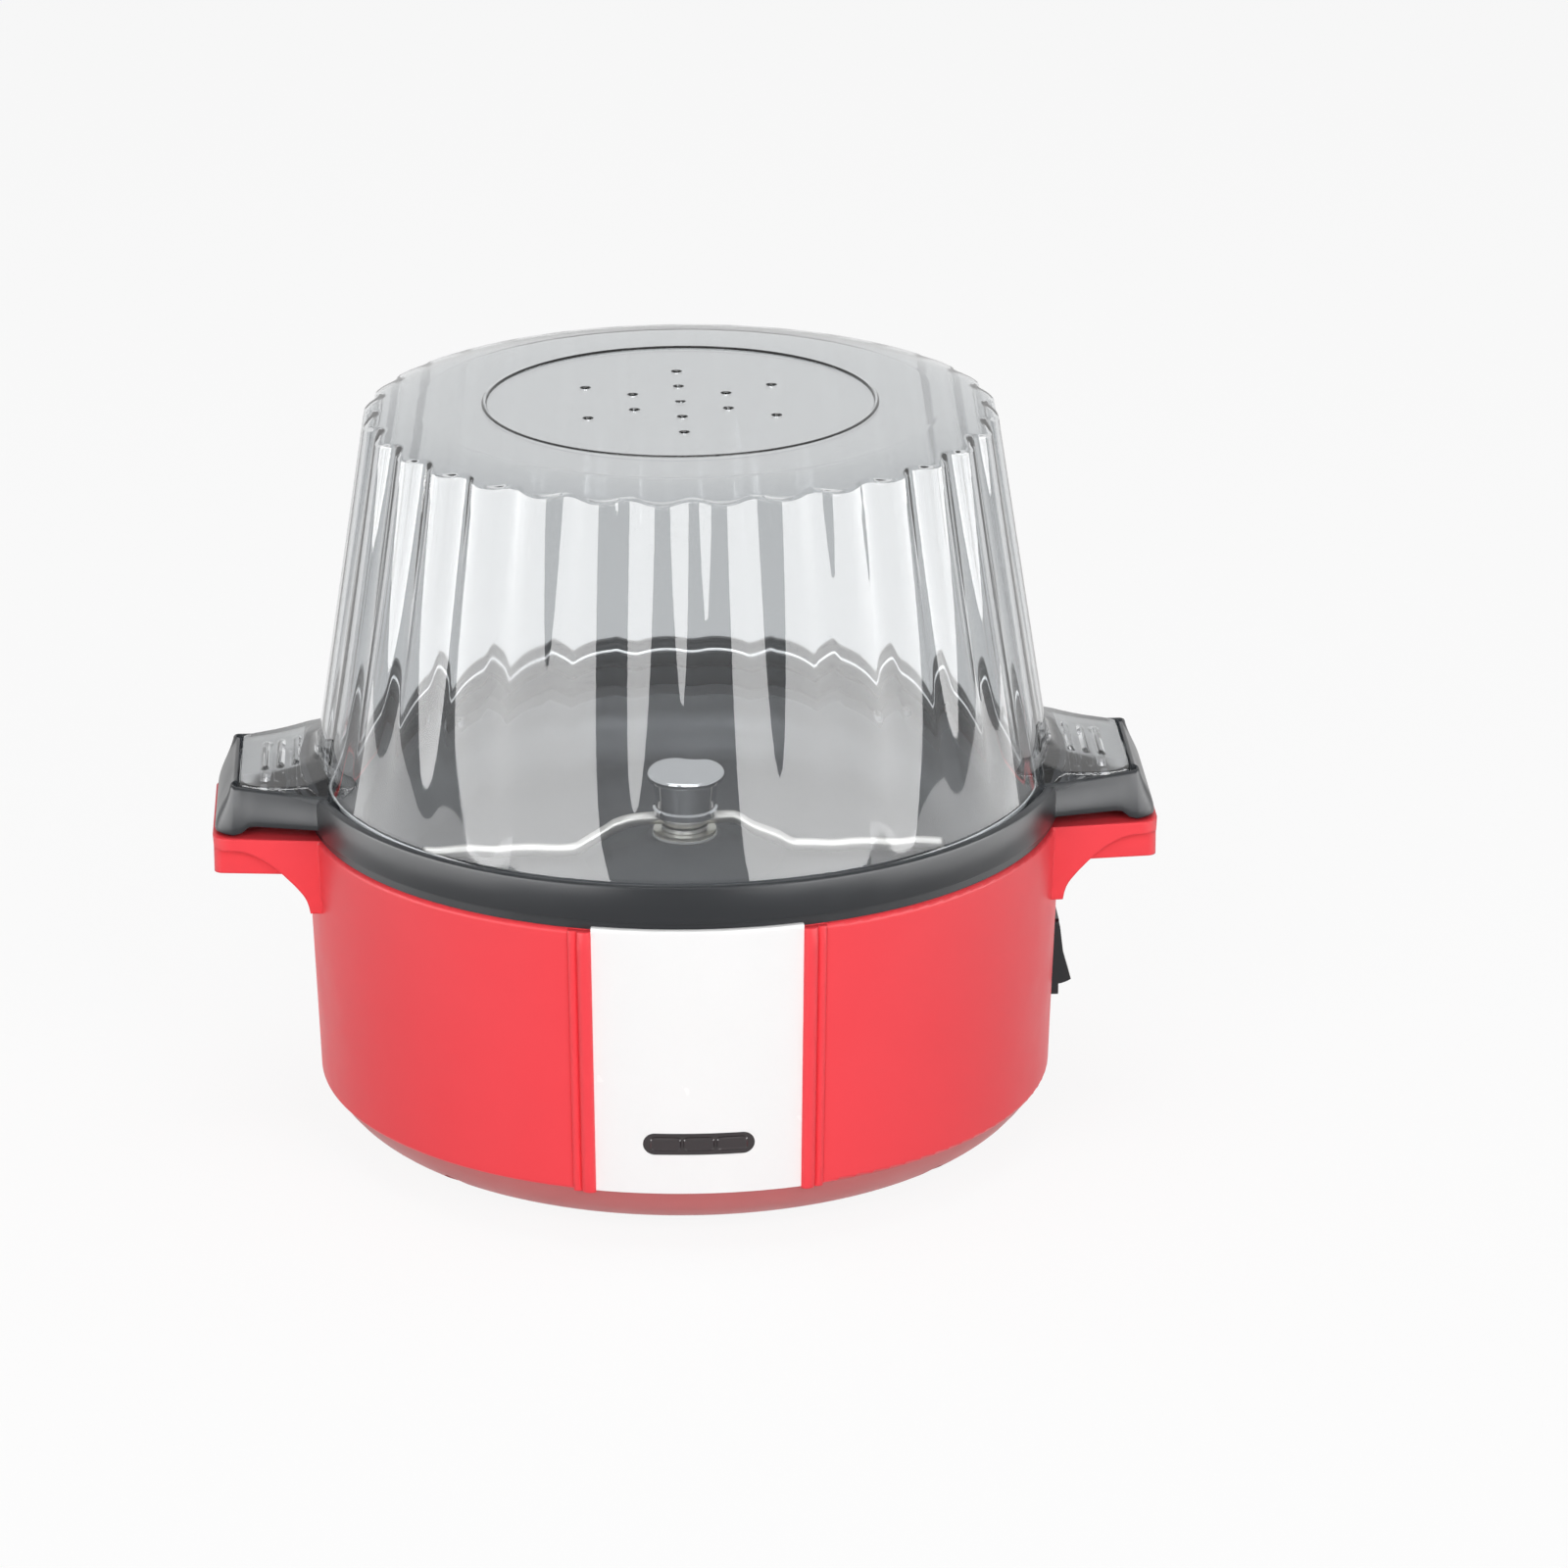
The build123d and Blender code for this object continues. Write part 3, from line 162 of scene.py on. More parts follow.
# Thin pale ring just inside the foot of the dome: a painted highlight, the white line where the foot
# catches the light.
HIGHLIGHT_RING_R = 112.9 * MM
HIGHLIGHT_RING_HALF_WIDTH = 0.3 * MM
HIGHLIGHT_RING_HALF_HEIGHT = 0.45 * MM
HIGHLIGHT_RING_SIDES = 12
HIGHLIGHT_RING_STEPS = 256

# Black collar. The edges are (in, up) points in millimetres from the outside and the foot or top.
COLLAR_R = 121.5 * MM
COLLAR_H = 12 * MM
COLLAR_STEPS = 720
COLLAR_FOOT_EDGE = ((1.7, 0.0), (0.8, 0.0), (0.2, 0.25), (0.0, 0.9))
COLLAR_TOP_EDGE = ((0.0, -0.9), (0.2, -0.3), (0.8, 0.0))
COLLAR_WALL = 2.5 * MM
COLLAR_UNDERCUT = 2.2 * MM
RIM_H = 3.1 * MM
RIM_H_AT_TAB = 0.05 * MM
RIM_RAMP = (5 * MM, 3.5 * MM)
RIM_CHAMFER = (0.5 * MM, 0.04 * MM)
SEAT_R = 118.8 * MM
SEAT_FLOOR = 2.5 * MM
MOUTH_R = 112.5 * MM
MOUTH_CHAMFER = 0.5 * MM
SPIGOT_R = 118 * MM
SPIGOT_WALL = 1.7 * MM
SPIGOT_STEP = 3 * MM
SPIGOT_DROP = 5.1 * MM

# Ears of the collar. The edges are (in, up) points in millimetres, as on the collar.
EAR_ROOT_X = 112 * MM
EAR_SPREAD = 1.3 * MM
EAR_TIP_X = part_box("collar_ring")[1].x + EAR_SPREAD
EAR_ROOT_HALF = 37.8 * MM
EAR_TIP_HALF = 28.6 * MM
EAR_CORNER = 8 * MM
EAR_RISE = 1.9 * MM
EAR_LEAN = 6 * MM
EAR_SIDE_LEAN = 1.8 * MM
EAR_LEAN_POWER = 1.5
EAR_ARCH = 1.2 * MM
EAR_ARCH_END = (12 * MM, 7 * MM)
EAR_TIP_DROP = 2.1 * MM
EAR_FOOT_EDGE = ((0.6, 0.0), (0.15, 0.3), (0.0, 0.9))
EAR_TOP_EDGE = ((0.0, -1.1), (0.2, -0.4), (0.55, -0.05), (0.9, 0.0), (1.3, -0.15), (1.6, -0.6))
EAR_WALL_ROWS = 8
EAR_FOOT_WALL = 1.8 * MM
EAR_KNEE = (2.4 * MM, 3 * MM)
EAR_LEDGE = 3 * MM
EAR_LEDGE_TOP = 0.4 * MM
EAR_SIDE_STEPS = 13
EAR_CORNER_STEPS = 16
EAR_TIP_STEPS = 6
TRAY_INSET = 2.4 * MM
TRAY_TOP = 0.5 * MM
TRAY_UNDER = 2.4 * MM

# Grey pads in the ears, a painted reflection that lightens the clear tabs over them: (in, up) points in
# millimetres from the pad's outside and the seat.
PAD_INSET = 1.9 * MM
PAD_SEAT_GAP = 1 * MM
PAD_EDGE = ((0.0, -0.45), (0.0, -0.15), (0.25, -0.05))

# Red housing with its trim strips, and the lip of the panel as (out, height) points in millimetres.
SHELL_FOOT_Z = 19 * MM
SHELL_TOP_Z = 106.5 * MM
SHELL_FOOT_R = 117.7 * MM
SHELL_TOP_R = 121 * MM
PANEL_HALF_DEG = 15.6
PANEL_LIP = ((-1.2, 105.3), (0.26, 105.3), (0.28, 106.6), (0.1, 107.2), (-0.4, 107.5), (-1.2, 107.5))
PANEL_STEPS = 40
TRIM_DEG = (19.1, PANEL_HALF_DEG)
TRIM_BEADS = ((0.0, 0.36, 1.3 * MM), (0.4, 1.0, 2.4 * MM))
TRIM_BASE = 0.3 * MM
TRIM_SUNK = 1.2 * MM
TRIM_END = 0.65
TRIM_ROWS = 24
TRIM_STEPS = 40

# Panes of the indicator lens. The edge is (in, out) points in millimetres.
LENS_Z = 36.3 * MM
LENS_PANE = (9.6 * MM, 4.4 * MM)
LENS_PITCH = 10.3 * MM
LENS_EDGE = ((0.0, -0.2), (0.0, 0.35), (0.35, 0.7), (0.9, 0.5), (1.3, 0.5))
LENS_ROUNDNESS = 0.35
LENS_STEPS = 40


def clamp(value):
    """The value, kept between 0 and 1."""
    return min(max(value, 0.0), 1.0)


def smooth_step(low, high, value):
    """0 below low, 1 above high, and a smooth ramp between."""
    share = clamp((value - low) / (high - low))
    return share * share * (3 - 2 * share)


def quarter_round(share):
    """Drop of a quarter circle, from 0 at its start to 1 at its end."""
    return 1 - math.sqrt(1 - share * share)


# Materials
def new_material(name):
    """A material with a Principled shader, as (material, node tree, shader)."""
    material = bpy.data.materials.new(name)
    material.use_nodes = True
    return material, material.node_tree, material.node_tree.nodes["Principled BSDF"]


def noise(tree, scale, detail=3.0):
    """Noise in the object's own coordinates."""
    place = tree.nodes.new("ShaderNodeTexCoord")
    texture = tree.nodes.new("ShaderNodeTexNoise")
    texture.inputs["Scale"].default_value = scale
    texture.inputs["Detail"].default_value = detail
    tree.links.new(place.outputs["Object"], texture.inputs["Vector"])
    return texture.outputs["Fac"]


def vary_colour(tree, shader, color, spread, scale):
    """Base colour that drifts a little over the surface."""
    mix = tree.nodes.new("ShaderNodeMix")
    mix.data_type = "RGBA"
    mix.inputs[6].default_value = (*[c * (1 - spread) for c in color], 1)
    mix.inputs[7].default_value = (*[min(c * (1 + spread), 1) for c in color], 1)
    tree.links.new(noise(tree, scale), mix.inputs[0])
    tree.links.new(mix.outputs[2], shader.inputs["Base Color"])


def vary_roughness(tree, shader, low, high, scale):
    """Roughness that drifts between two values."""
    spread = tree.nodes.new("ShaderNodeMapRange")
    spread.inputs["From Min"].default_value = 0.3
    spread.inputs["From Max"].default_value = 0.7
    spread.inputs["To Min"].default_value = low
    spread.inputs["To Max"].default_value = high
    tree.links.new(noise(tree, scale, 4.0), spread.inputs["Value"])
    tree.links.new(spread.outputs["Result"], shader.inputs["Roughness"])


def add_grain(tree, shader, scale, strength, height, edge=None):
    """Fine relief of the surface. Where an edge radius is given, edges are softened by it first."""
    bump = tree.nodes.new("ShaderNodeBump")
    if edge:
        soften = tree.nodes.new("ShaderNodeBevel")
        soften.samples = 6
        soften.inputs["Radius"].default_value = edge
        tree.links.new(soften.outputs["Normal"], bump.inputs["Normal"])
    bump.inputs["Strength"].default_value = strength
    bump.inputs["Distance"].default_value = height
    tree.links.new(noise(tree, scale, 2.0), bump.inputs["Height"])
    tree.links.new(bump.outputs["Normal"], shader.inputs["Normal"])


def surface(name, color, roughness, grain, spread=0.04, edge=None, **sockets):
    """A material with drifting colour and roughness and a fine grain.

    Roughness is (low, high), grain is (scale, strength, height), edge is the radius that softens
    its edges, and the rest are plain socket values.
    """
    material, tree, shader = new_material(name)
    vary_colour(tree, shader, color, spread, scale=18)
    vary_roughness(tree, shader, *roughness, scale=60)
    add_grain(tree, shader, *grain, edge)
    for socket, value in sockets.items():
        shader.inputs[socket.replace("_", " ")].default_value = value
    return material


def clear_plastic():
    """Slightly grey clear plastic that lets lamps through."""
    material, tree, shader = new_material("clear_plastic")
    shader.inputs["Base Color"].default_value = (0.7, 0.715, 0.725, 1)
    shader.inputs["Transmission Weight"].default_value = 1
    shader.inputs["IOR"].default_value = 1.49
    vary_roughness(tree, shader, 0.01, 0.05, scale=40)
    add_grain(tree, shader, 90, 0.02, 0.0001)
    through = tree.nodes.new("ShaderNodeBsdfTransparent")
    through.inputs["Color"].default_value = (0.9, 0.91, 0.92, 1)
    rays = tree.nodes.new("ShaderNodeLightPath")
    choose = tree.nodes.new("ShaderNodeMixShader")
    tree.links.new(rays.outputs["Is Shadow Ray"], choose.inputs[0])
    tree.links.new(shader.outputs[0], choose.inputs[1])
    tree.links.new(through.outputs[0], choose.inputs[2])
    tree.links.new(choose.outputs[0], tree.nodes["Material Output"].inputs["Surface"])
    return material


PLASTIC_GRAIN = (900, 0.06, 0.0002)
GLOSSY_GRAIN = (1200, 0.03, 0.0001)
METAL_GRAIN = (700, 0.08, 0.0001)
LOOKS = (
    surface(
        "red_plastic",
        (0.87, 0.055, 0.07),
        (0.36, 0.42),
        (1400, 0.05, 0.0001),
        0.02,
        0.8 * MM,
        Specular_IOR_Level=0.2,
    ),
    # The dish is the housing's red made darker and greyer: painted shade under the housing, with a painted
    # reflection of the floor.
    surface("dish_plastic", (0.52, 0.12, 0.12), (0.4, 0.5), PLASTIC_GRAIN),
    surface("white_plastic", (0.87, 0.87, 0.87), (0.2, 0.28), PLASTIC_GRAIN, 0.01),
    surface(
        "black_plastic", (0.016, 0.018, 0.021), (0.28, 0.34), GLOSSY_GRAIN, 0.05, Specular_IOR_Level=0.35
    ),
    clear_plastic(),
    surface("dark_lens", (0.03, 0.022, 0.024), (0.1, 0.2), PLASTIC_GRAIN, 0.1),
    surface("lamp_plastic", (0.8, 0.4, 0.18), (0.2, 0.3), PLASTIC_GRAIN),
    surface("pale_plastic", (0.72, 0.7, 0.64), (0.4, 0.5), PLASTIC_GRAIN),
    surface("nonstick", (0.105, 0.108, 0.114), (0.42, 0.52), (1500, 0.05, 0.0001), 0.1, Metallic=0.7),
    surface("bright_aluminium", (0.72, 0.72, 0.73), (0.25, 0.35), METAL_GRAIN, Metallic=1.0),
    surface("plated_steel", (0.6, 0.6, 0.61), (0.25, 0.4), METAL_GRAIN, Metallic=1.0),
    surface("wire_steel", (0.7, 0.68, 0.65), (0.34, 0.44), METAL_GRAIN, Metallic=1.0),
    surface("heater_sheath", (0.14, 0.12, 0.11), (0.4, 0.55), METAL_GRAIN, 0.2, Metallic=1.0),
    surface("motor_steel", (0.5, 0.5, 0.5), (0.3, 0.4), METAL_GRAIN, Metallic=1.0),
    surface("chrome", (0.82, 0.82, 0.83), (0.05, 0.1), METAL_GRAIN, 0.02, Metallic=1.0),
    surface("brass", (0.76, 0.74, 0.66), (0.25, 0.35), METAL_GRAIN, Metallic=1.0),
    surface("grey_silicone", (0.3, 0.3, 0.3), (0.5, 0.6), PLASTIC_GRAIN),
    surface("black_rubber", (0.02, 0.02, 0.02), (0.6, 0.75), (800, 0.3, 0.0003), 0.2),
)
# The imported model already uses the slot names, so the names here end in a number.
SLOTS = {look.name.split(".")[0]: look for look in LOOKS}


def dress_nodes():
    """Gives every CAD node the material of its slot in the record."""
    for row in frame["record"]["subparts"]:
        for slot in NODES[row["node"]].material_slots:
            slot.link = "OBJECT"
            slot.material = SLOTS[row["material_slot"]]


# Tools for the pieces
def new_piece(name, bm, slot, body, crease=35):
    """A smooth-shaded piece from a closed bmesh, with edges sharper than the crease kept crisp."""
    bmesh.ops.recalc_face_normals(bm, faces=bm.faces)
    mesh = bpy.data.meshes.new(name)
    bm.to_mesh(mesh)
    bm.free()
    mesh.shade_smooth()
    mesh.set_sharp_from_angle(angle=math.radians(crease))
    mesh.materials.append(SLOTS[slot])
    piece = bpy.data.objects.new(name, mesh)
    SCENE.collection.objects.link(piece)
    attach(piece, body)
    return piece


def loops_from(bm, angles, columns):
    """Loops of vertices, one for each row of the columns."""
    loops = []
    for row in range(len(columns[0])):
        loop = []
        for angle, column in zip(angles, columns):
            radius, height = column[row]
            loop.append(bm.verts.new((radius * math.cos(angle), radius * math.sin(angle), height)))
        loops.append(loop)
    return loops


def ring(bm, radius, height, count, centre=(0, 0)):
    """A circle of vertices at a height."""
    verts = []
    for k in range(count):
        turn = math.tau * k / count
        x = centre[0] + radius * math.cos(turn)
        y = centre[1] + radius * math.sin(turn)
        verts.append(bm.verts.new((x, y, height)))
    return verts


def front_vert(bm, radius, turn, height):
    """A vertex at a radius and a height, turned from the front about the upright axis."""
    return bm.verts.new((radius * math.sin(turn), -radius * math.cos(turn), height))


def bridge(bm, lower, upper):
    """Quads between two closed loops of the same length."""
    count = len(lower)
    for k in range(count):
        after = (k + 1) % count
        bm.faces.new((lower[k], lower[after], upper[after], upper[k]))


def bridge_all(bm, loops, closed=False):
    """Quads between each loop and the next, and between the last and the first where closed."""
    for lower, upper in zip(loops, loops[1:]):
        bridge(bm, lower, upper)
    if closed:
        bridge(bm, loops[-1], loops[0])


def cap_ends(bm, loops):
    """A face on the first loop and one on the last."""
    bm.faces.new(loops[0])
    bm.faces.new(loops[-1])


def fill_with_holes(bm, loops):
    """Flat faces inside the first loop of vertices and outside the others."""
    edges = []
    for loop in loops:
        for first, second in zip(loop, loop[1:] + loop[:1]):
            edges.append(bm.edges.get((first, second)) or bm.edges.new((first, second)))
    bmesh.ops.triangle_fill(bm, use_beauty=True, edges=edges)


# Clear dome
def flute_share(angle):
    """How deep the flute is at an angle: 0 on a crest and 1 in a valley. A valley faces -Y."""
    turn = (FLUTES * angle / math.tau + 0.5) % 1.0
    turn = min(turn, 1 - turn)
    if turn < FLUTE_CREST:
        return 2 * FLUTE_CREST * (turn / FLUTE_CREST) ** 2
    return 1 - (1 - 2 * FLUTE_CREST) * ((0.5 - turn) / (0.5 - FLUTE_CREST)) ** 2


class DomeForm:
    """The outline of the dome, worked out from the CAD dome's box."""

    def __init__(self):
        low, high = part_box("dome")
        self.seat = low.z
        self.top = high.z
        self.tip_x = high.x - TAB_TIP_INSET
        self.foot_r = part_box("collar_ring")[1].y - FOOT_INSET
        self.slope = (self.foot_r - SHOULDER_R) / (self.top - SHOULDER_DROP - self.seat)
        self.flange_r = self.foot_r + FLANGE_OUT
        self.rib_x = self.tip_x - TAB_RIB_SETBACK

    def wall_r(self, z):
        """Outer radius over the flute crests."""
        return self.foot_r - self.slope * (z - self.seat)

    def climb(self, z):
        """How far up the wall a height is, from 0 where the flutes start to 1 at the top."""
        return clamp((z - self.seat - FLUTE_START) / (self.top - self.seat - FLUTE_START))

    def outer_r(self, z, share):
        """Outer radius at a flute share."""
        return self.wall_r(z) - FLUTE_DEPTH * self.climb(z) * share

    def inner_r(self, z, share):
        """Inner radius at a flute share. The wall is thicker at the foot than at the top."""
        climb = self.climb(z)
        wall = FOOT_WALL + (DOME_WALL - FOOT_WALL) * climb
        return self.wall_r(z) - wall - FLUTE_DEPTH * INNER_FLUTE * climb * share

    def shoulder_z(self, radius):
        """Height of the rounded shoulder between the flat top and the flutes."""
        out = max(radius - FLAT_R, 0.0)
        bend = min(out / SHOULDER_BEND, SHOULDER_BEND_LIMIT)
        return self.top - SHOULDER_SLOPE * out - SHOULDER_ROUND * quarter_round(bend)

    def inner_shoulder_z(self, radius):
        """Height of the shoulder's inner face."""
        return self.shoulder_z(radius + INNER_SHOULDER_SHIFT * DOME_WALL) - DOME_WALL

    def tab_r(self, angle):
        """Radius of the foot's outline, which reaches out to the tabs at +X and -X."""
        across = abs(math.sin(angle))
        along = abs(math.cos(angle))
        side_slope = (TAB_ROOT_HALF - TAB_TIP_HALF) / (self.tip_x - self.foot_r)
        tip = self.tip_x / max(along, 1e-6)
        side = (TAB_TIP_HALF + side_slope * self.tip_x) / (across + side_slope * along)
        # The nearer of the two, with a round corner where they cross.
        near = max(TAB_CORNER - abs(tip - side), 0.0)
        return max(self.flange_r, min(tip, side) - near * near / TAB_CORNER / 4)

    def tab_rise(self, x, y):
        """Height of a tab above the seat: sloped front and back edges, and three ribs."""
        past_flat = max(abs(y) - TAB_FLAT_HALF, 0.0)
        rise = TAB_RISE - TAB_SLOPE * (math.hypot(past_flat, MM) - MM)
        length = 1 - smooth_step(TAB_RIB_HALF_LENGTH - MM, TAB_RIB_HALF_LENGTH, abs(y))
        for k in (-1, 0, 1):
            off = abs(abs(x) - self.rib_x - k * TAB_RIB_PITCH)
            rise += TAB_RIB_H * (1 - smooth_step(*TAB_RIB_HALF_WIDTHS, off)) * length
        return rise


DOME = DomeForm()


def meeting(wall, shoulder):
    """Where a wall, given as radius by height, meets a shoulder, given as height by radius."""
    low = DOME.top - 2 * SHOULDER_DROP
    high = DOME.top
    for _ in range(40):
        middle = (low + high) / 2
        if shoulder(wall(middle)) > middle:
            low = middle
        else:
            high = middle
    return wall(low), low


def wall_and_shoulder(wall, shoulder, start, round_by):
    """Profile points up a wall from a height, round the corner at its top and in to the flat."""
    corner = Vector(meeting(wall, shoulder))
    before_z = corner.y - round_by
    points = []
    for k in range(1, WALL_ROWS + 1):
        height = start + (before_z - start) * (k / WALL_ROWS) ** WALL_CROWDING
        points.append((wall(height), height))
    before = Vector((wall(before_z), before_z))
    after = Vector((corner.x - round_by, shoulder(corner.x - round_by)))
    for k in range(1, CORNER_ROWS):
        t = k / CORNER_ROWS
        points.append(tuple(before * (1 - t) ** 2 + corner * 2 * t * (1 - t) + after * t * t))
    for k in range(SHOULDER_ROWS + 1):
        radius = after.x + (FLAT_R - after.x) * k / SHOULDER_ROWS
        points.append((radius, shoulder(radius)))
    return points


def outer_column(angle):
    """Outer profile of the dome at an angle, from the foot to the recess, as (radius, height) points."""
    share = flute_share(angle)
    edge_r = DOME.tab_r(angle)
    tabbed = smooth_step(0.0, TAB_BLEND, edge_r - DOME.flange_r)
    flange_z = DOME.seat + FLANGE_H
    wall_y = DOME.flange_r * math.sin(angle)
    # The fillet at the root of a tab fades out towards the sides.
    fillet = TAB_FILLET * (1 - smooth_step(TAB_FILLET_FADE, 1.0, abs(wall_y) / TAB_FLAT_HALF))
    root_z = DOME.seat + DOME.tab_rise(0, wall_y) + TAB_LIFT + fillet
    start = flange_z + (root_z - flange_z) * tabbed
    wall_r = DOME.outer_r(start, share)
    points = [(edge_r, DOME.seat)]
    # Upper face of the tab, or the small foot flange where there is no tab.
    for k in range(TAB_STEPS + 1):
        radius = edge_r + (wall_r - edge_r) * k / TAB_STEPS
        near = clamp(1 - (radius - wall_r) / TAB_FILLET)
        sweep = clamp(1 - (radius - wall_r) / TAB_SWEEP)
        edge = clamp(1 - (edge_r - radius) / TAB_EDGE_R)
        rise = DOME.tab_rise(radius * math.cos(angle), radius * math.sin(angle))
        rise += TAB_LIFT * sweep**TAB_SWEEP_POWER + fillet * quarter_round(near)
        rise -= TAB_EDGE_DROP * quarter_round(edge)
        points.append((radius, flange_z + (DOME.seat + rise - flange_z) * tabbed))
    points += wall_and_shoulder(lambda z: DOME.outer_r(z, share), DOME.shoulder_z, start, OUTER_CORNER)
    # A fine bead where the flat top meets the recess.
    for out, up in RECESS_BEAD:
        points.append((RECESS_R + out * MM, DOME.top + up * MM))
    points.append((RECESS_R - RECESS_EDGE, DOME.top - RECESS_DEPTH))
    return points


def inner_column(angle):
    """Inner profile of the dome at an angle, from the foot to the ceiling, as (radius, height) points."""
    share = flute_share(angle)
    start = DOME.seat + FOOT_CHAMFER[1]
    foot_r = DOME.inner_r(start, share)
    points = [(foot_r + FOOT_CHAMFER[0], DOME.seat), (foot_r, start)]
    points += wall_and_shoulder(
        lambda z: DOME.inner_r(z, share), DOME.inner_shoulder_z, start, INNER_CORNER
    )
    points.append((RECESS_R - RECESS_EDGE, DOME.top - RECESS_DEPTH - DOME_WALL))
    return points


def vents(bm, face_z, ceiling_z):
    """Vent holes in two circles, as (mouths, undersides)."""
    mouths = []
    undersides = []
    for reach in (VENT_PITCH, 2 * VENT_PITCH):
        for arm in range(VENT_ARMS):
            turn = math.radians(VENT_FIRST_DEG + 360 * arm / VENT_ARMS)
            centre = (reach * math.cos(turn), reach * math.sin(turn))
            mouth = ring(bm, VENT_R + VENT_CHAMFER[0], face_z, VENT_STEPS, centre)
            throat = ring(bm, VENT_R, face_z - VENT_CHAMFER[1], VENT_STEPS, centre)
            under = ring(bm, VENT_R, ceiling_z, VENT_STEPS, centre)
            bridge(bm, throat, mouth)
            bridge(bm, under, throat)
            mouths.append(mouth)
            undersides.append(under)
    return mouths, undersides


def dome():
    """Clear fluted dome with its tabs, recess, nub and vent holes."""
    count = FLUTES * FLUTE_STEPS
    angles = [math.tau * k / count for k in range(count)]
    bm = bmesh.new()
    outer = loops_from(bm, angles, [outer_column(angle) for angle in angles])
    inner = loops_from(bm, angles, [inner_column(angle) for angle in angles])
    bridge_all(bm, outer)
    for lower, upper in zip(inner, inner[1:]):
        bridge(bm, upper, lower)
    bridge(bm, inner[0], outer[0])
    # Floor of the recess and the ceiling below it, joined by the vents.
    face_z = DOME.top - RECESS_DEPTH
    mouths, undersides = vents(bm, face_z, inner[-1][0].co.z)
    nub = [ring(bm, out * MM, face_z + up * MM, NUB_STEPS) for out, up in NUB]
    bridge_all(bm, nub)
    bm.faces.new(nub[-1])
    fill_with_holes(bm, [outer[-1], *mouths, nub[0]])
    fill_with_holes(bm, [inner[-1], *undersides])
    piece = new_piece("dome_clear", bm, "clear_plastic", "lid", 32)
    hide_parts("dome")


def dome_highlight_ring():
    """Thin pale ring on the seat, just inside the foot of the dome: a painted highlight line round the
    foot.
    """
    bm = bmesh.new()
    loops = []
    for k in range(HIGHLIGHT_RING_SIDES):
        turn = math.tau * k / HIGHLIGHT_RING_SIDES
        radius = HIGHLIGHT_RING_R + HIGHLIGHT_RING_HALF_WIDTH * math.cos(turn)
        height = DOME.seat + HIGHLIGHT_RING_HALF_HEIGHT + HIGHLIGHT_RING_HALF_HEIGHT * math.sin(turn)
        loops.append(ring(bm, radius, height, HIGHLIGHT_RING_STEPS))
    bridge_all(bm, loops, closed=True)
    # The white plastic on this ring is a painted highlight.
    new_piece("dome_highlight_ring", bm, "white_plastic", "lid")


# Black collar
def collar_column(angle):
    """Section of the collar at an angle, as (radius, height) points. Its rim is low under the tabs."""
    side = abs(math.sin(angle)) * SEAT_R
    rim = smooth_step(EAR_ROOT_HALF - RIM_RAMP[0], EAR_ROOT_HALF - RIM_RAMP[1], side)
    seat = DOME.seat
    top = seat + RIM_H_AT_TAB + (RIM_H - RIM_H_AT_TAB) * rim
    foot = seat + RIM_H - COLLAR_H
    # Outside, from the foot to the rim.
    points = [(COLLAR_R - inset * MM, foot + up * MM) for inset, up in COLLAR_FOOT_EDGE]
    points += [(COLLAR_R - inset * MM, top + up * MM) for inset, up in COLLAR_TOP_EDGE]
    # Rim, seat and mouth.
    points += [(SEAT_R + RIM_CHAMFER[0], top), (SEAT_R, top - RIM_CHAMFER[1]), (SEAT_R, seat)]
    points += [(MOUTH_R + MOUTH_CHAMFER, seat), (MOUTH_R, seat - MOUTH_CHAMFER)]
    # Under the seat, inside the wall, and the spigot that drops into the housing.
    wall_r = COLLAR_R - COLLAR_WALL
    bore_r = SPIGOT_R - SPIGOT_WALL
    points += [(MOUTH_R, seat - SEAT_FLOOR), (wall_r, seat - SEAT_FLOOR), (wall_r, foot + COLLAR_UNDERCUT)]
    points += [(bore_r, foot + COLLAR_UNDERCUT), (bore_r, foot - SPIGOT_DROP)]
    points += [(SPIGOT_R, foot - SPIGOT_DROP), (SPIGOT_R, foot - SPIGOT_STEP)]
    # The last point lies straight below the first.
    points.append((points[0][0], foot - SPIGOT_STEP))
    return points


def ear_path():
    """Plan of an ear at +X from its front root round to its back root, as (point, outward) pairs."""
    taper = (EAR_ROOT_HALF - EAR_TIP_HALF) / (EAR_TIP_X - EAR_ROOT_X)
    front = Vector((taper, -1)).normalized()
    first_turn = math.atan2(front.y, front.x)
    corner_x = EAR_TIP_X - EAR_CORNER
    corner_y = EAR_CORNER - EAR_TIP_HALF
    side_end = corner_x + EAR_CORNER * math.cos(first_turn)
    half = []
    for k in range(EAR_SIDE_STEPS):
        x = EAR_ROOT_X + (side_end - EAR_ROOT_X) * k / EAR_SIDE_STEPS
        half.append((Vector((x, -(EAR_TIP_HALF + taper * (corner_x - x)))), front))
    for k in range(EAR_CORNER_STEPS + 1):
        turn = first_turn * (1 - k / EAR_CORNER_STEPS)
        out = Vector((math.cos(turn), math.sin(turn)))
        half.append((Vector((corner_x, corner_y)) + out * EAR_CORNER, out))
    for k in range(1, EAR_TIP_STEPS + 1):
        half.append((Vector((EAR_TIP_X, corner_y * (1 - k / EAR_TIP_STEPS))), Vector((1, 0))))
    back = [(Vector((p.x, -p.y)), Vector((n.x, -n.y))) for p, n in reversed(half[:-1])]
    return half + back


def ear_lean(out):
    """How far an ear's wall leans in by its top, by the direction it faces: most at the tip."""
    return EAR_SIDE_LEAN + (EAR_LEAN - EAR_SIDE_LEAN) * max(out.x, 0.0) ** 2


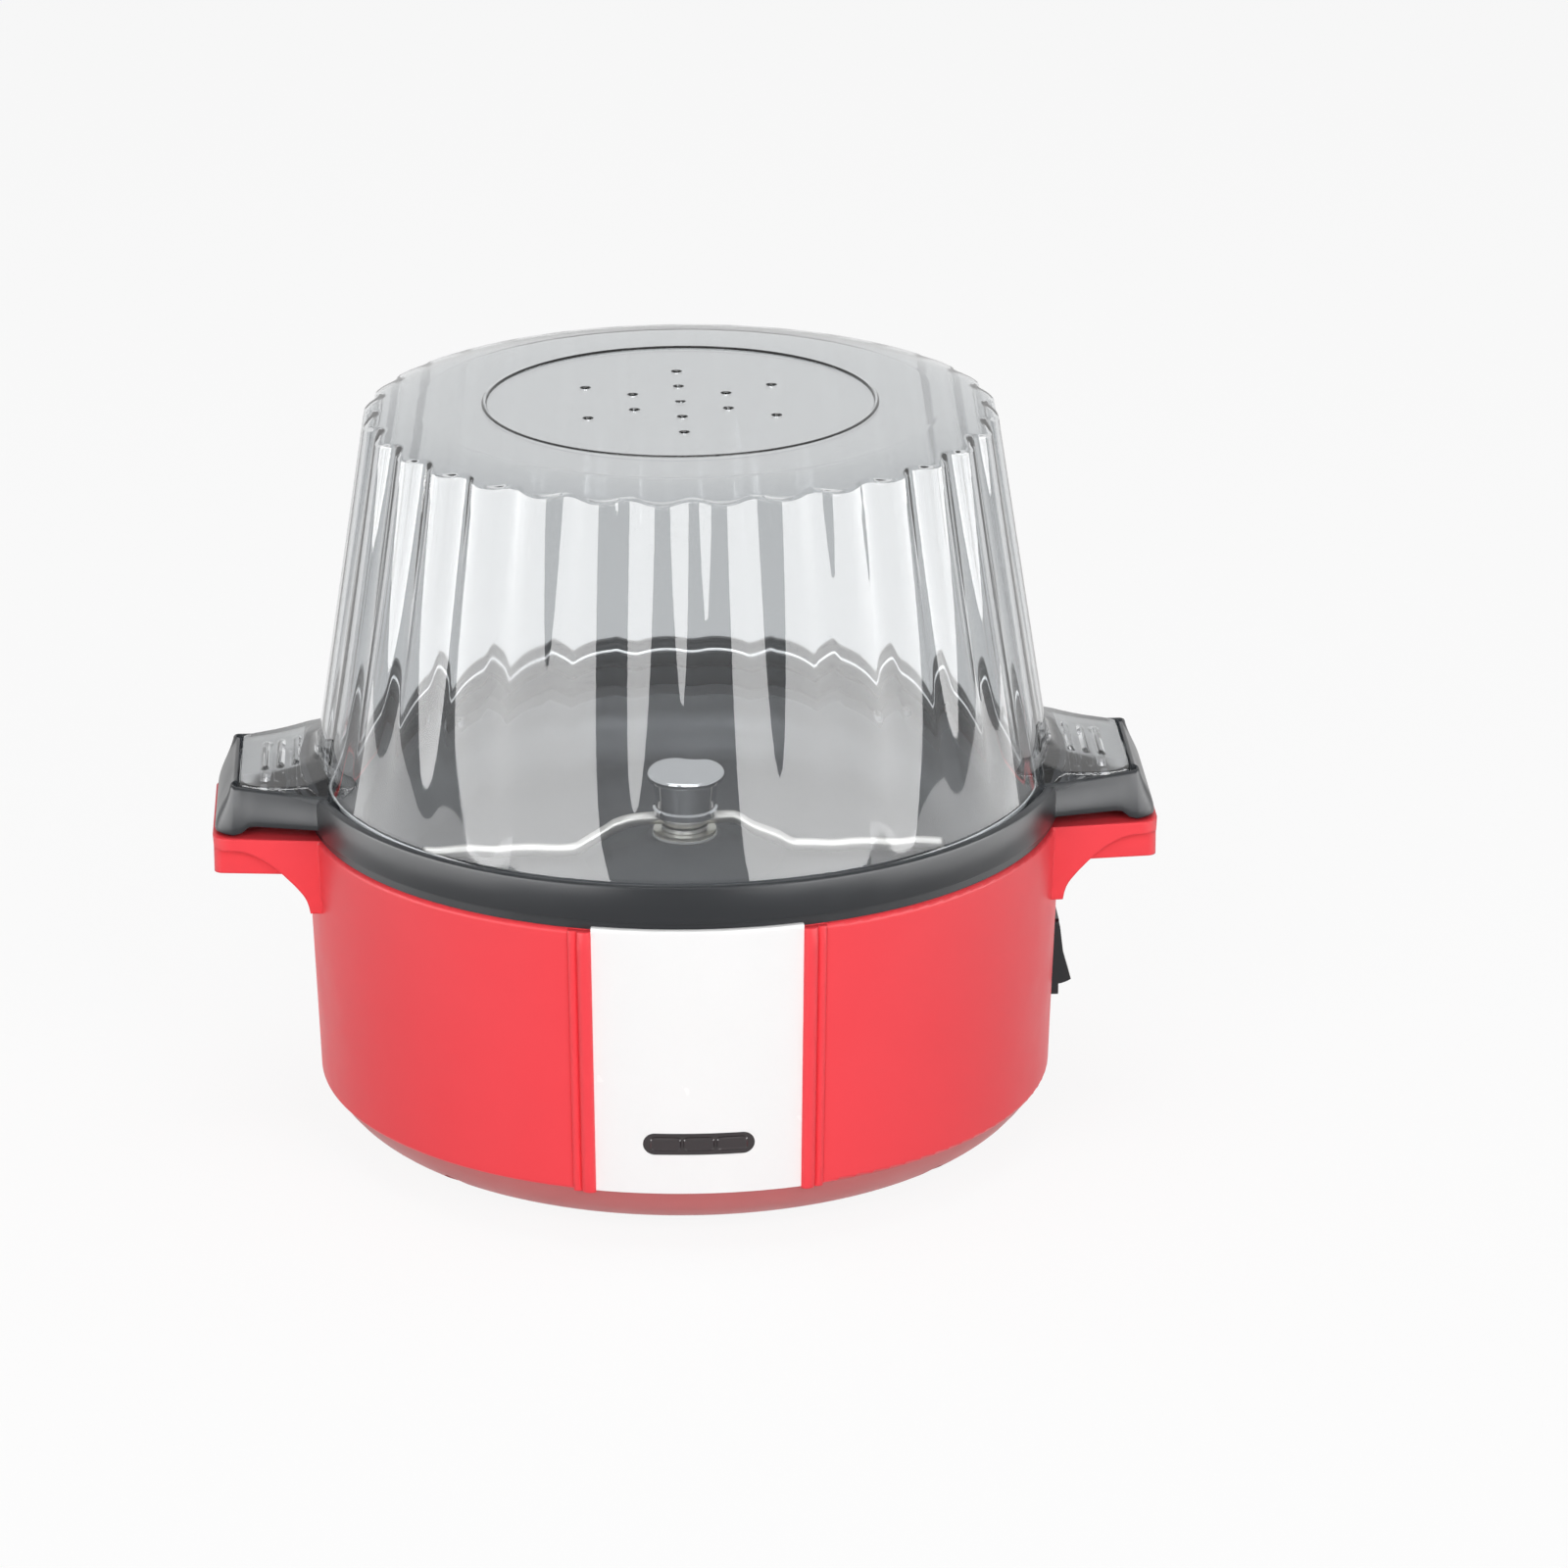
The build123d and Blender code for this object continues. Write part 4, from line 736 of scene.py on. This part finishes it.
def ear_section(x, lean):
    """Closed section of an ear's wall, as (distance in from the plan, height) points."""
    seat = DOME.seat
    top = seat + RIM_H + EAR_RISE * clamp((x - SEAT_R) / (EAR_TIP_X - SEAT_R))
    at_tip = smooth_step(EAR_TIP_X - EAR_ARCH_END[0], EAR_TIP_X - EAR_ARCH_END[1], x)
    foot = seat + RIM_H - COLLAR_H + EAR_ARCH - (EAR_ARCH + EAR_TIP_DROP) * at_tip
    points = [(inset * MM, foot + up * MM) for inset, up in EAR_FOOT_EDGE]
    wall_foot = foot + EAR_FOOT_EDGE[-1][1] * MM
    wall_top = top + EAR_TOP_EDGE[0][1] * MM
    for k in range(1, EAR_WALL_ROWS):
        share = k / EAR_WALL_ROWS
        points.append((lean * share**EAR_LEAN_POWER, wall_foot + (wall_top - wall_foot) * share))
    points += [(lean + inset * MM, top + up * MM) for inset, up in EAR_TOP_EDGE]
    # Inside of the wall, the ledge of the tray and the underside.
    inside = lean + EAR_TOP_EDGE[-1][0] * MM
    points += [(inside, seat - EAR_LEDGE_TOP), (lean + EAR_LEDGE, seat - EAR_LEDGE_TOP)]
    points += [(lean + EAR_LEDGE, seat - SEAT_FLOOR), (EAR_KNEE[0], seat - EAR_KNEE[1])]
    points += [(EAR_FOOT_WALL, foot)]
    return points


def ear(bm, side):
    """One ear of the collar: a leaning wall round a tray. Side is -1 or 1."""
    rows = []
    tray = []
    for place, out in ear_path():
        lean = ear_lean(out)
        row = []
        for inward, z in ear_section(place.x, lean):
            spot = place - out * inward
            row.append(bm.verts.new((side * spot.x, spot.y, z)))
        rows.append(row)
        tray.append(place - out * (lean + TRAY_INSET))
    bridge_all(bm, rows)
    cap_ends(bm, rows)
    plates = []
    for z in (DOME.seat - TRAY_TOP, DOME.seat - TRAY_UNDER):
        plates.append([bm.verts.new((side * spot.x, spot.y, z)) for spot in tray])
    bridge_all(bm, plates)
    cap_ends(bm, plates)


def collar():
    """Black collar of the lid with its two ears."""
    angles = [math.tau * k / COLLAR_STEPS for k in range(COLLAR_STEPS)]
    bm = bmesh.new()
    loops = loops_from(bm, angles, [collar_column(angle) for angle in angles])
    bridge_all(bm, loops, closed=True)
    ear(bm, -1)
    ear(bm, 1)
    piece = new_piece("collar_black", bm, "black_plastic", "lid", 40)
    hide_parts("collar_ring")


def tab_reflection_pad(side, name):
    """Grey pad in the tray of an ear, under the clear tab, which lightens the tab as a painted reflection.
    Side is -1 or 1.
    """
    bm = bmesh.new()
    plates = []
    for inset, up in PAD_EDGE:
        plate = []
        for place, out in ear_path():
            spot = place - out * (ear_lean(out) + PAD_INSET + inset * MM)
            spot.x = max(spot.x, SEAT_R + PAD_SEAT_GAP + inset * MM)
            plate.append(bm.verts.new((side * spot.x, spot.y, DOME.seat + up * MM)))
        plates.append(plate)
    bridge_all(bm, plates)
    cap_ends(bm, plates)
    bmesh.ops.remove_doubles(bm, verts=bm.verts, dist=1e-6)
    # The grey silicone here is a painted reflection, seen through the clear tab.
    new_piece(name, bm, "grey_silicone", "lid")


# Front of the housing
def shell_r(z):
    """Outer radius of the red housing at a height."""
    return SHELL_FOOT_R + (SHELL_TOP_R - SHELL_FOOT_R) * (z - SHELL_FOOT_Z) / (SHELL_TOP_Z - SHELL_FOOT_Z)


def panel_lip():
    """Top edge of the white panel, rolled over the top of the housing."""
    bm = bmesh.new()
    columns = []
    for k in range(PANEL_STEPS + 1):
        turn = math.radians(PANEL_HALF_DEG) * (2 * k / PANEL_STEPS - 1)
        column = []
        for out, height in PANEL_LIP:
            z = height * MM
            column.append(front_vert(bm, shell_r(z) + out * MM, turn, z))
        columns.append(column)
    bridge_all(bm, columns)
    cap_ends(bm, columns)
    new_piece("panel_lip", bm, "white_plastic", "base")


def bead_rise(share):
    """How far a trim strip stands out, in two beads and a groove: 0 is its outer edge, 1 the panel."""
    for low, high, rise in TRIM_BEADS:
        if low <= share <= high:
            across = 2 * (share - low) / (high - low) - 1
            return TRIM_BASE + (rise - TRIM_BASE) * math.sqrt(max(1 - across * across, 0.0))
    return TRIM_BASE


def trim_strip(side, name, node):
    """Rounded trim strip beside the panel, from the foot of the housing to its top. Side is -1 or 1."""
    low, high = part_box(node)
    outer_deg, inner_deg = TRIM_DEG
    turns = []
    for k in range(TRIM_STEPS + 1):
        turns.append(side * math.radians(outer_deg + (inner_deg - outer_deg) * k / TRIM_STEPS))
    bm = bmesh.new()
    rows = []
    for row in range(TRIM_ROWS + 1):
        z = low.z + (high.z - low.z) * row / TRIM_ROWS
        ease = TRIM_END if row in (0, TRIM_ROWS) else 1
        loop = []
        for k, turn in enumerate(turns):
            loop.append(front_vert(bm, shell_r(z) + bead_rise(k / TRIM_STEPS) * ease, turn, z))
        for turn in (turns[-1], turns[0]):
            loop.append(front_vert(bm, shell_r(z) - TRIM_SUNK, turn, z))
        rows.append(loop)
    bridge_all(bm, rows)
    cap_ends(bm, rows)
    piece = new_piece(name, bm, "red_plastic", "base", 50)
    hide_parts(node)


def squared(value):
    """A sine or cosine, pushed out so that a circle turns into a rounded rectangle."""
    return math.copysign(abs(value) ** LENS_ROUNDNESS, value)


def lens_panes():
    """Three shallow panes on the face of the indicator lens."""
    bm = bmesh.new()
    for k in (-1, 0, 1):
        loops = []
        for inset, out in LENS_EDGE:
            half_w = LENS_PANE[0] / 2 - inset * MM
            half_h = LENS_PANE[1] / 2 - inset * MM
            loop = []
            for step in range(LENS_STEPS):
                turn = math.tau * step / LENS_STEPS
                x = half_w * squared(math.cos(turn)) + k * LENS_PITCH
                z = half_h * squared(math.sin(turn)) + LENS_Z
                radius = shell_r(z) + out * MM
                loop.append(bm.verts.new((x, -math.sqrt(radius * radius - x * x), z)))
            loops.append(loop)
        bridge_all(bm, loops)
        cap_ends(bm, loops)
    new_piece("lens_panes", bm, "dark_lens", "base")


# Stage
def see_rays(tree):
    """1 for rays that show the background: from the camera, a mirror or glass."""
    rays = tree.nodes.new("ShaderNodeLightPath")
    total = rays.outputs["Is Camera Ray"]
    for name in ("Is Glossy Ray", "Is Transmission Ray"):
        larger = tree.nodes.new("ShaderNodeMath")
        larger.operation = "MAXIMUM"
        tree.links.new(total, larger.inputs[0])
        tree.links.new(rays.outputs[name], larger.inputs[1])
        total = larger.outputs[0]
    return total


def floor():
    """Pale floor that keeps the shadow."""
    bm = bmesh.new()
    bmesh.ops.create_grid(bm, x_segments=1, y_segments=1, size=FLOOR_HALF)
    mesh = bpy.data.meshes.new("floor")
    bm.to_mesh(mesh)
    bm.free()
    plane = bpy.data.objects.new("floor", mesh)
    plane.location.z = -FLOOR_DROP
    SCENE.collection.objects.link(plane)
    material, tree, shader = new_material("floor")
    shader.inputs["Base Color"].default_value = (0.8, 0.8, 0.8, 1)
    shader.inputs["Roughness"].default_value = 0.9
    shader.inputs["Specular IOR Level"].default_value = 0.1
    glow = tree.nodes.new("ShaderNodeEmission")
    choose = tree.nodes.new("ShaderNodeMixShader")
    share = tree.nodes.new("ShaderNodeMath")
    share.operation = "MULTIPLY"
    share.inputs[1].default_value = FLOOR_GLOW
    tree.links.new(see_rays(tree), share.inputs[0])
    tree.links.new(share.outputs[0], choose.inputs[0])
    tree.links.new(shader.outputs[0], choose.inputs[1])
    tree.links.new(glow.outputs[0], choose.inputs[2])
    tree.links.new(choose.outputs[0], tree.nodes["Material Output"].inputs["Surface"])
    mesh.materials.append(material)


def world():
    """White background to look at, and a softer white light from it."""
    sky = bpy.data.worlds.new("studio")
    SCENE.world = sky
    sky.use_nodes = True
    tree = sky.node_tree
    strength = tree.nodes.new("ShaderNodeMapRange")
    strength.inputs["To Min"].default_value = SKY_LIGHT
    strength.inputs["To Max"].default_value = 1.0
    tree.links.new(see_rays(tree), strength.inputs["Value"])
    tree.links.new(strength.outputs["Result"], tree.nodes["Background"].inputs["Strength"])
    tree.nodes["Background"].inputs["Color"].default_value = (1, 1, 1, 1)


def softbox(name, place, target, size, power, lit=True, mirrored=True):
    """A rectangular lamp that faces a target. Lit, it lights matt surfaces; mirrored, it shows in gloss."""
    lamp = bpy.data.lights.new(name, "AREA")
    lamp.shape = "RECTANGLE"
    lamp.size, lamp.size_y = size
    lamp.energy = power
    holder = bpy.data.objects.new(name, lamp)
    holder.location = place
    holder.rotation_euler = (Vector(target) - Vector(place)).to_track_quat("-Z", "Y").to_euler()
    holder.visible_camera = False
    holder.visible_transmission = lit
    holder.visible_diffuse = lit
    holder.visible_glossy = mirrored
    SCENE.collection.objects.link(holder)


def lights():
    """Lamps beside the camera and above, and upright screens and low cards that only gloss shows."""
    for side, name in ((-1, "left"), (1, "right")):
        key = (side * KEY_PLACE[0], KEY_PLACE[1], KEY_PLACE[2])
        softbox(name + "_key", key, KEY_TARGET, KEY_SIZE, KEY_POWER, mirrored=False)
        screen = (*SCREEN_PLACES[side], SCREEN_Z)
        softbox(name + "_screen", screen, (0, 0, SCREEN_Z), SCREEN_SIZE, SCREEN_POWER, lit=False)
        card = (side * CARD_PLACE[0], CARD_PLACE[1], CARD_PLACE[2])
        softbox(name + "_card", card, (0, CARD_PLACE[1], CARD_PLACE[2]), CARD_SIZE, CARD_POWER, lit=False)
    softbox("top_key", TOP_PLACE, TOP_TARGET, TOP_SIZE, TOP_POWER)


def camera():
    """Camera fitted to the photograph."""
    lens = bpy.data.cameras.new("camera")
    lens.sensor_width = SENSOR_MM
    lens.lens = FOCAL_PX / FRAME_PX * SENSOR_MM
    lens.shift_x = (FRAME_PX / 2 - AXIS_PX) / FRAME_PX
    lens.clip_end = CAMERA_REACH
    holder = bpy.data.objects.new("camera", lens)
    turn = Matrix.Rotation(CAMERA_AZIMUTH, 4, "Z")
    tilt = Matrix.Rotation(math.pi / 2 - CAMERA_PITCH, 4, "X")
    roll = Matrix.Rotation(CAMERA_ROLL, 4, "Z")
    place = Matrix.Translation(turn @ Vector((0, -CAMERA_DISTANCE, CAMERA_HEIGHT)))
    holder.matrix_world = place @ turn @ tilt @ roll
    SCENE.collection.objects.link(holder)
    SCENE.camera = holder


SCENE.view_settings.view_transform = "Standard"
dress_nodes()
dome()
dome_highlight_ring()
collar()
tab_reflection_pad(-1, "tab_pad_left")
tab_reflection_pad(1, "tab_pad_right")
panel_lip()
trim_strip(-1, "trim_left", "panel_trim_left")
trim_strip(1, "trim_right", "panel_trim_right")
lens_panes()
floor()
world()
lights()
camera()
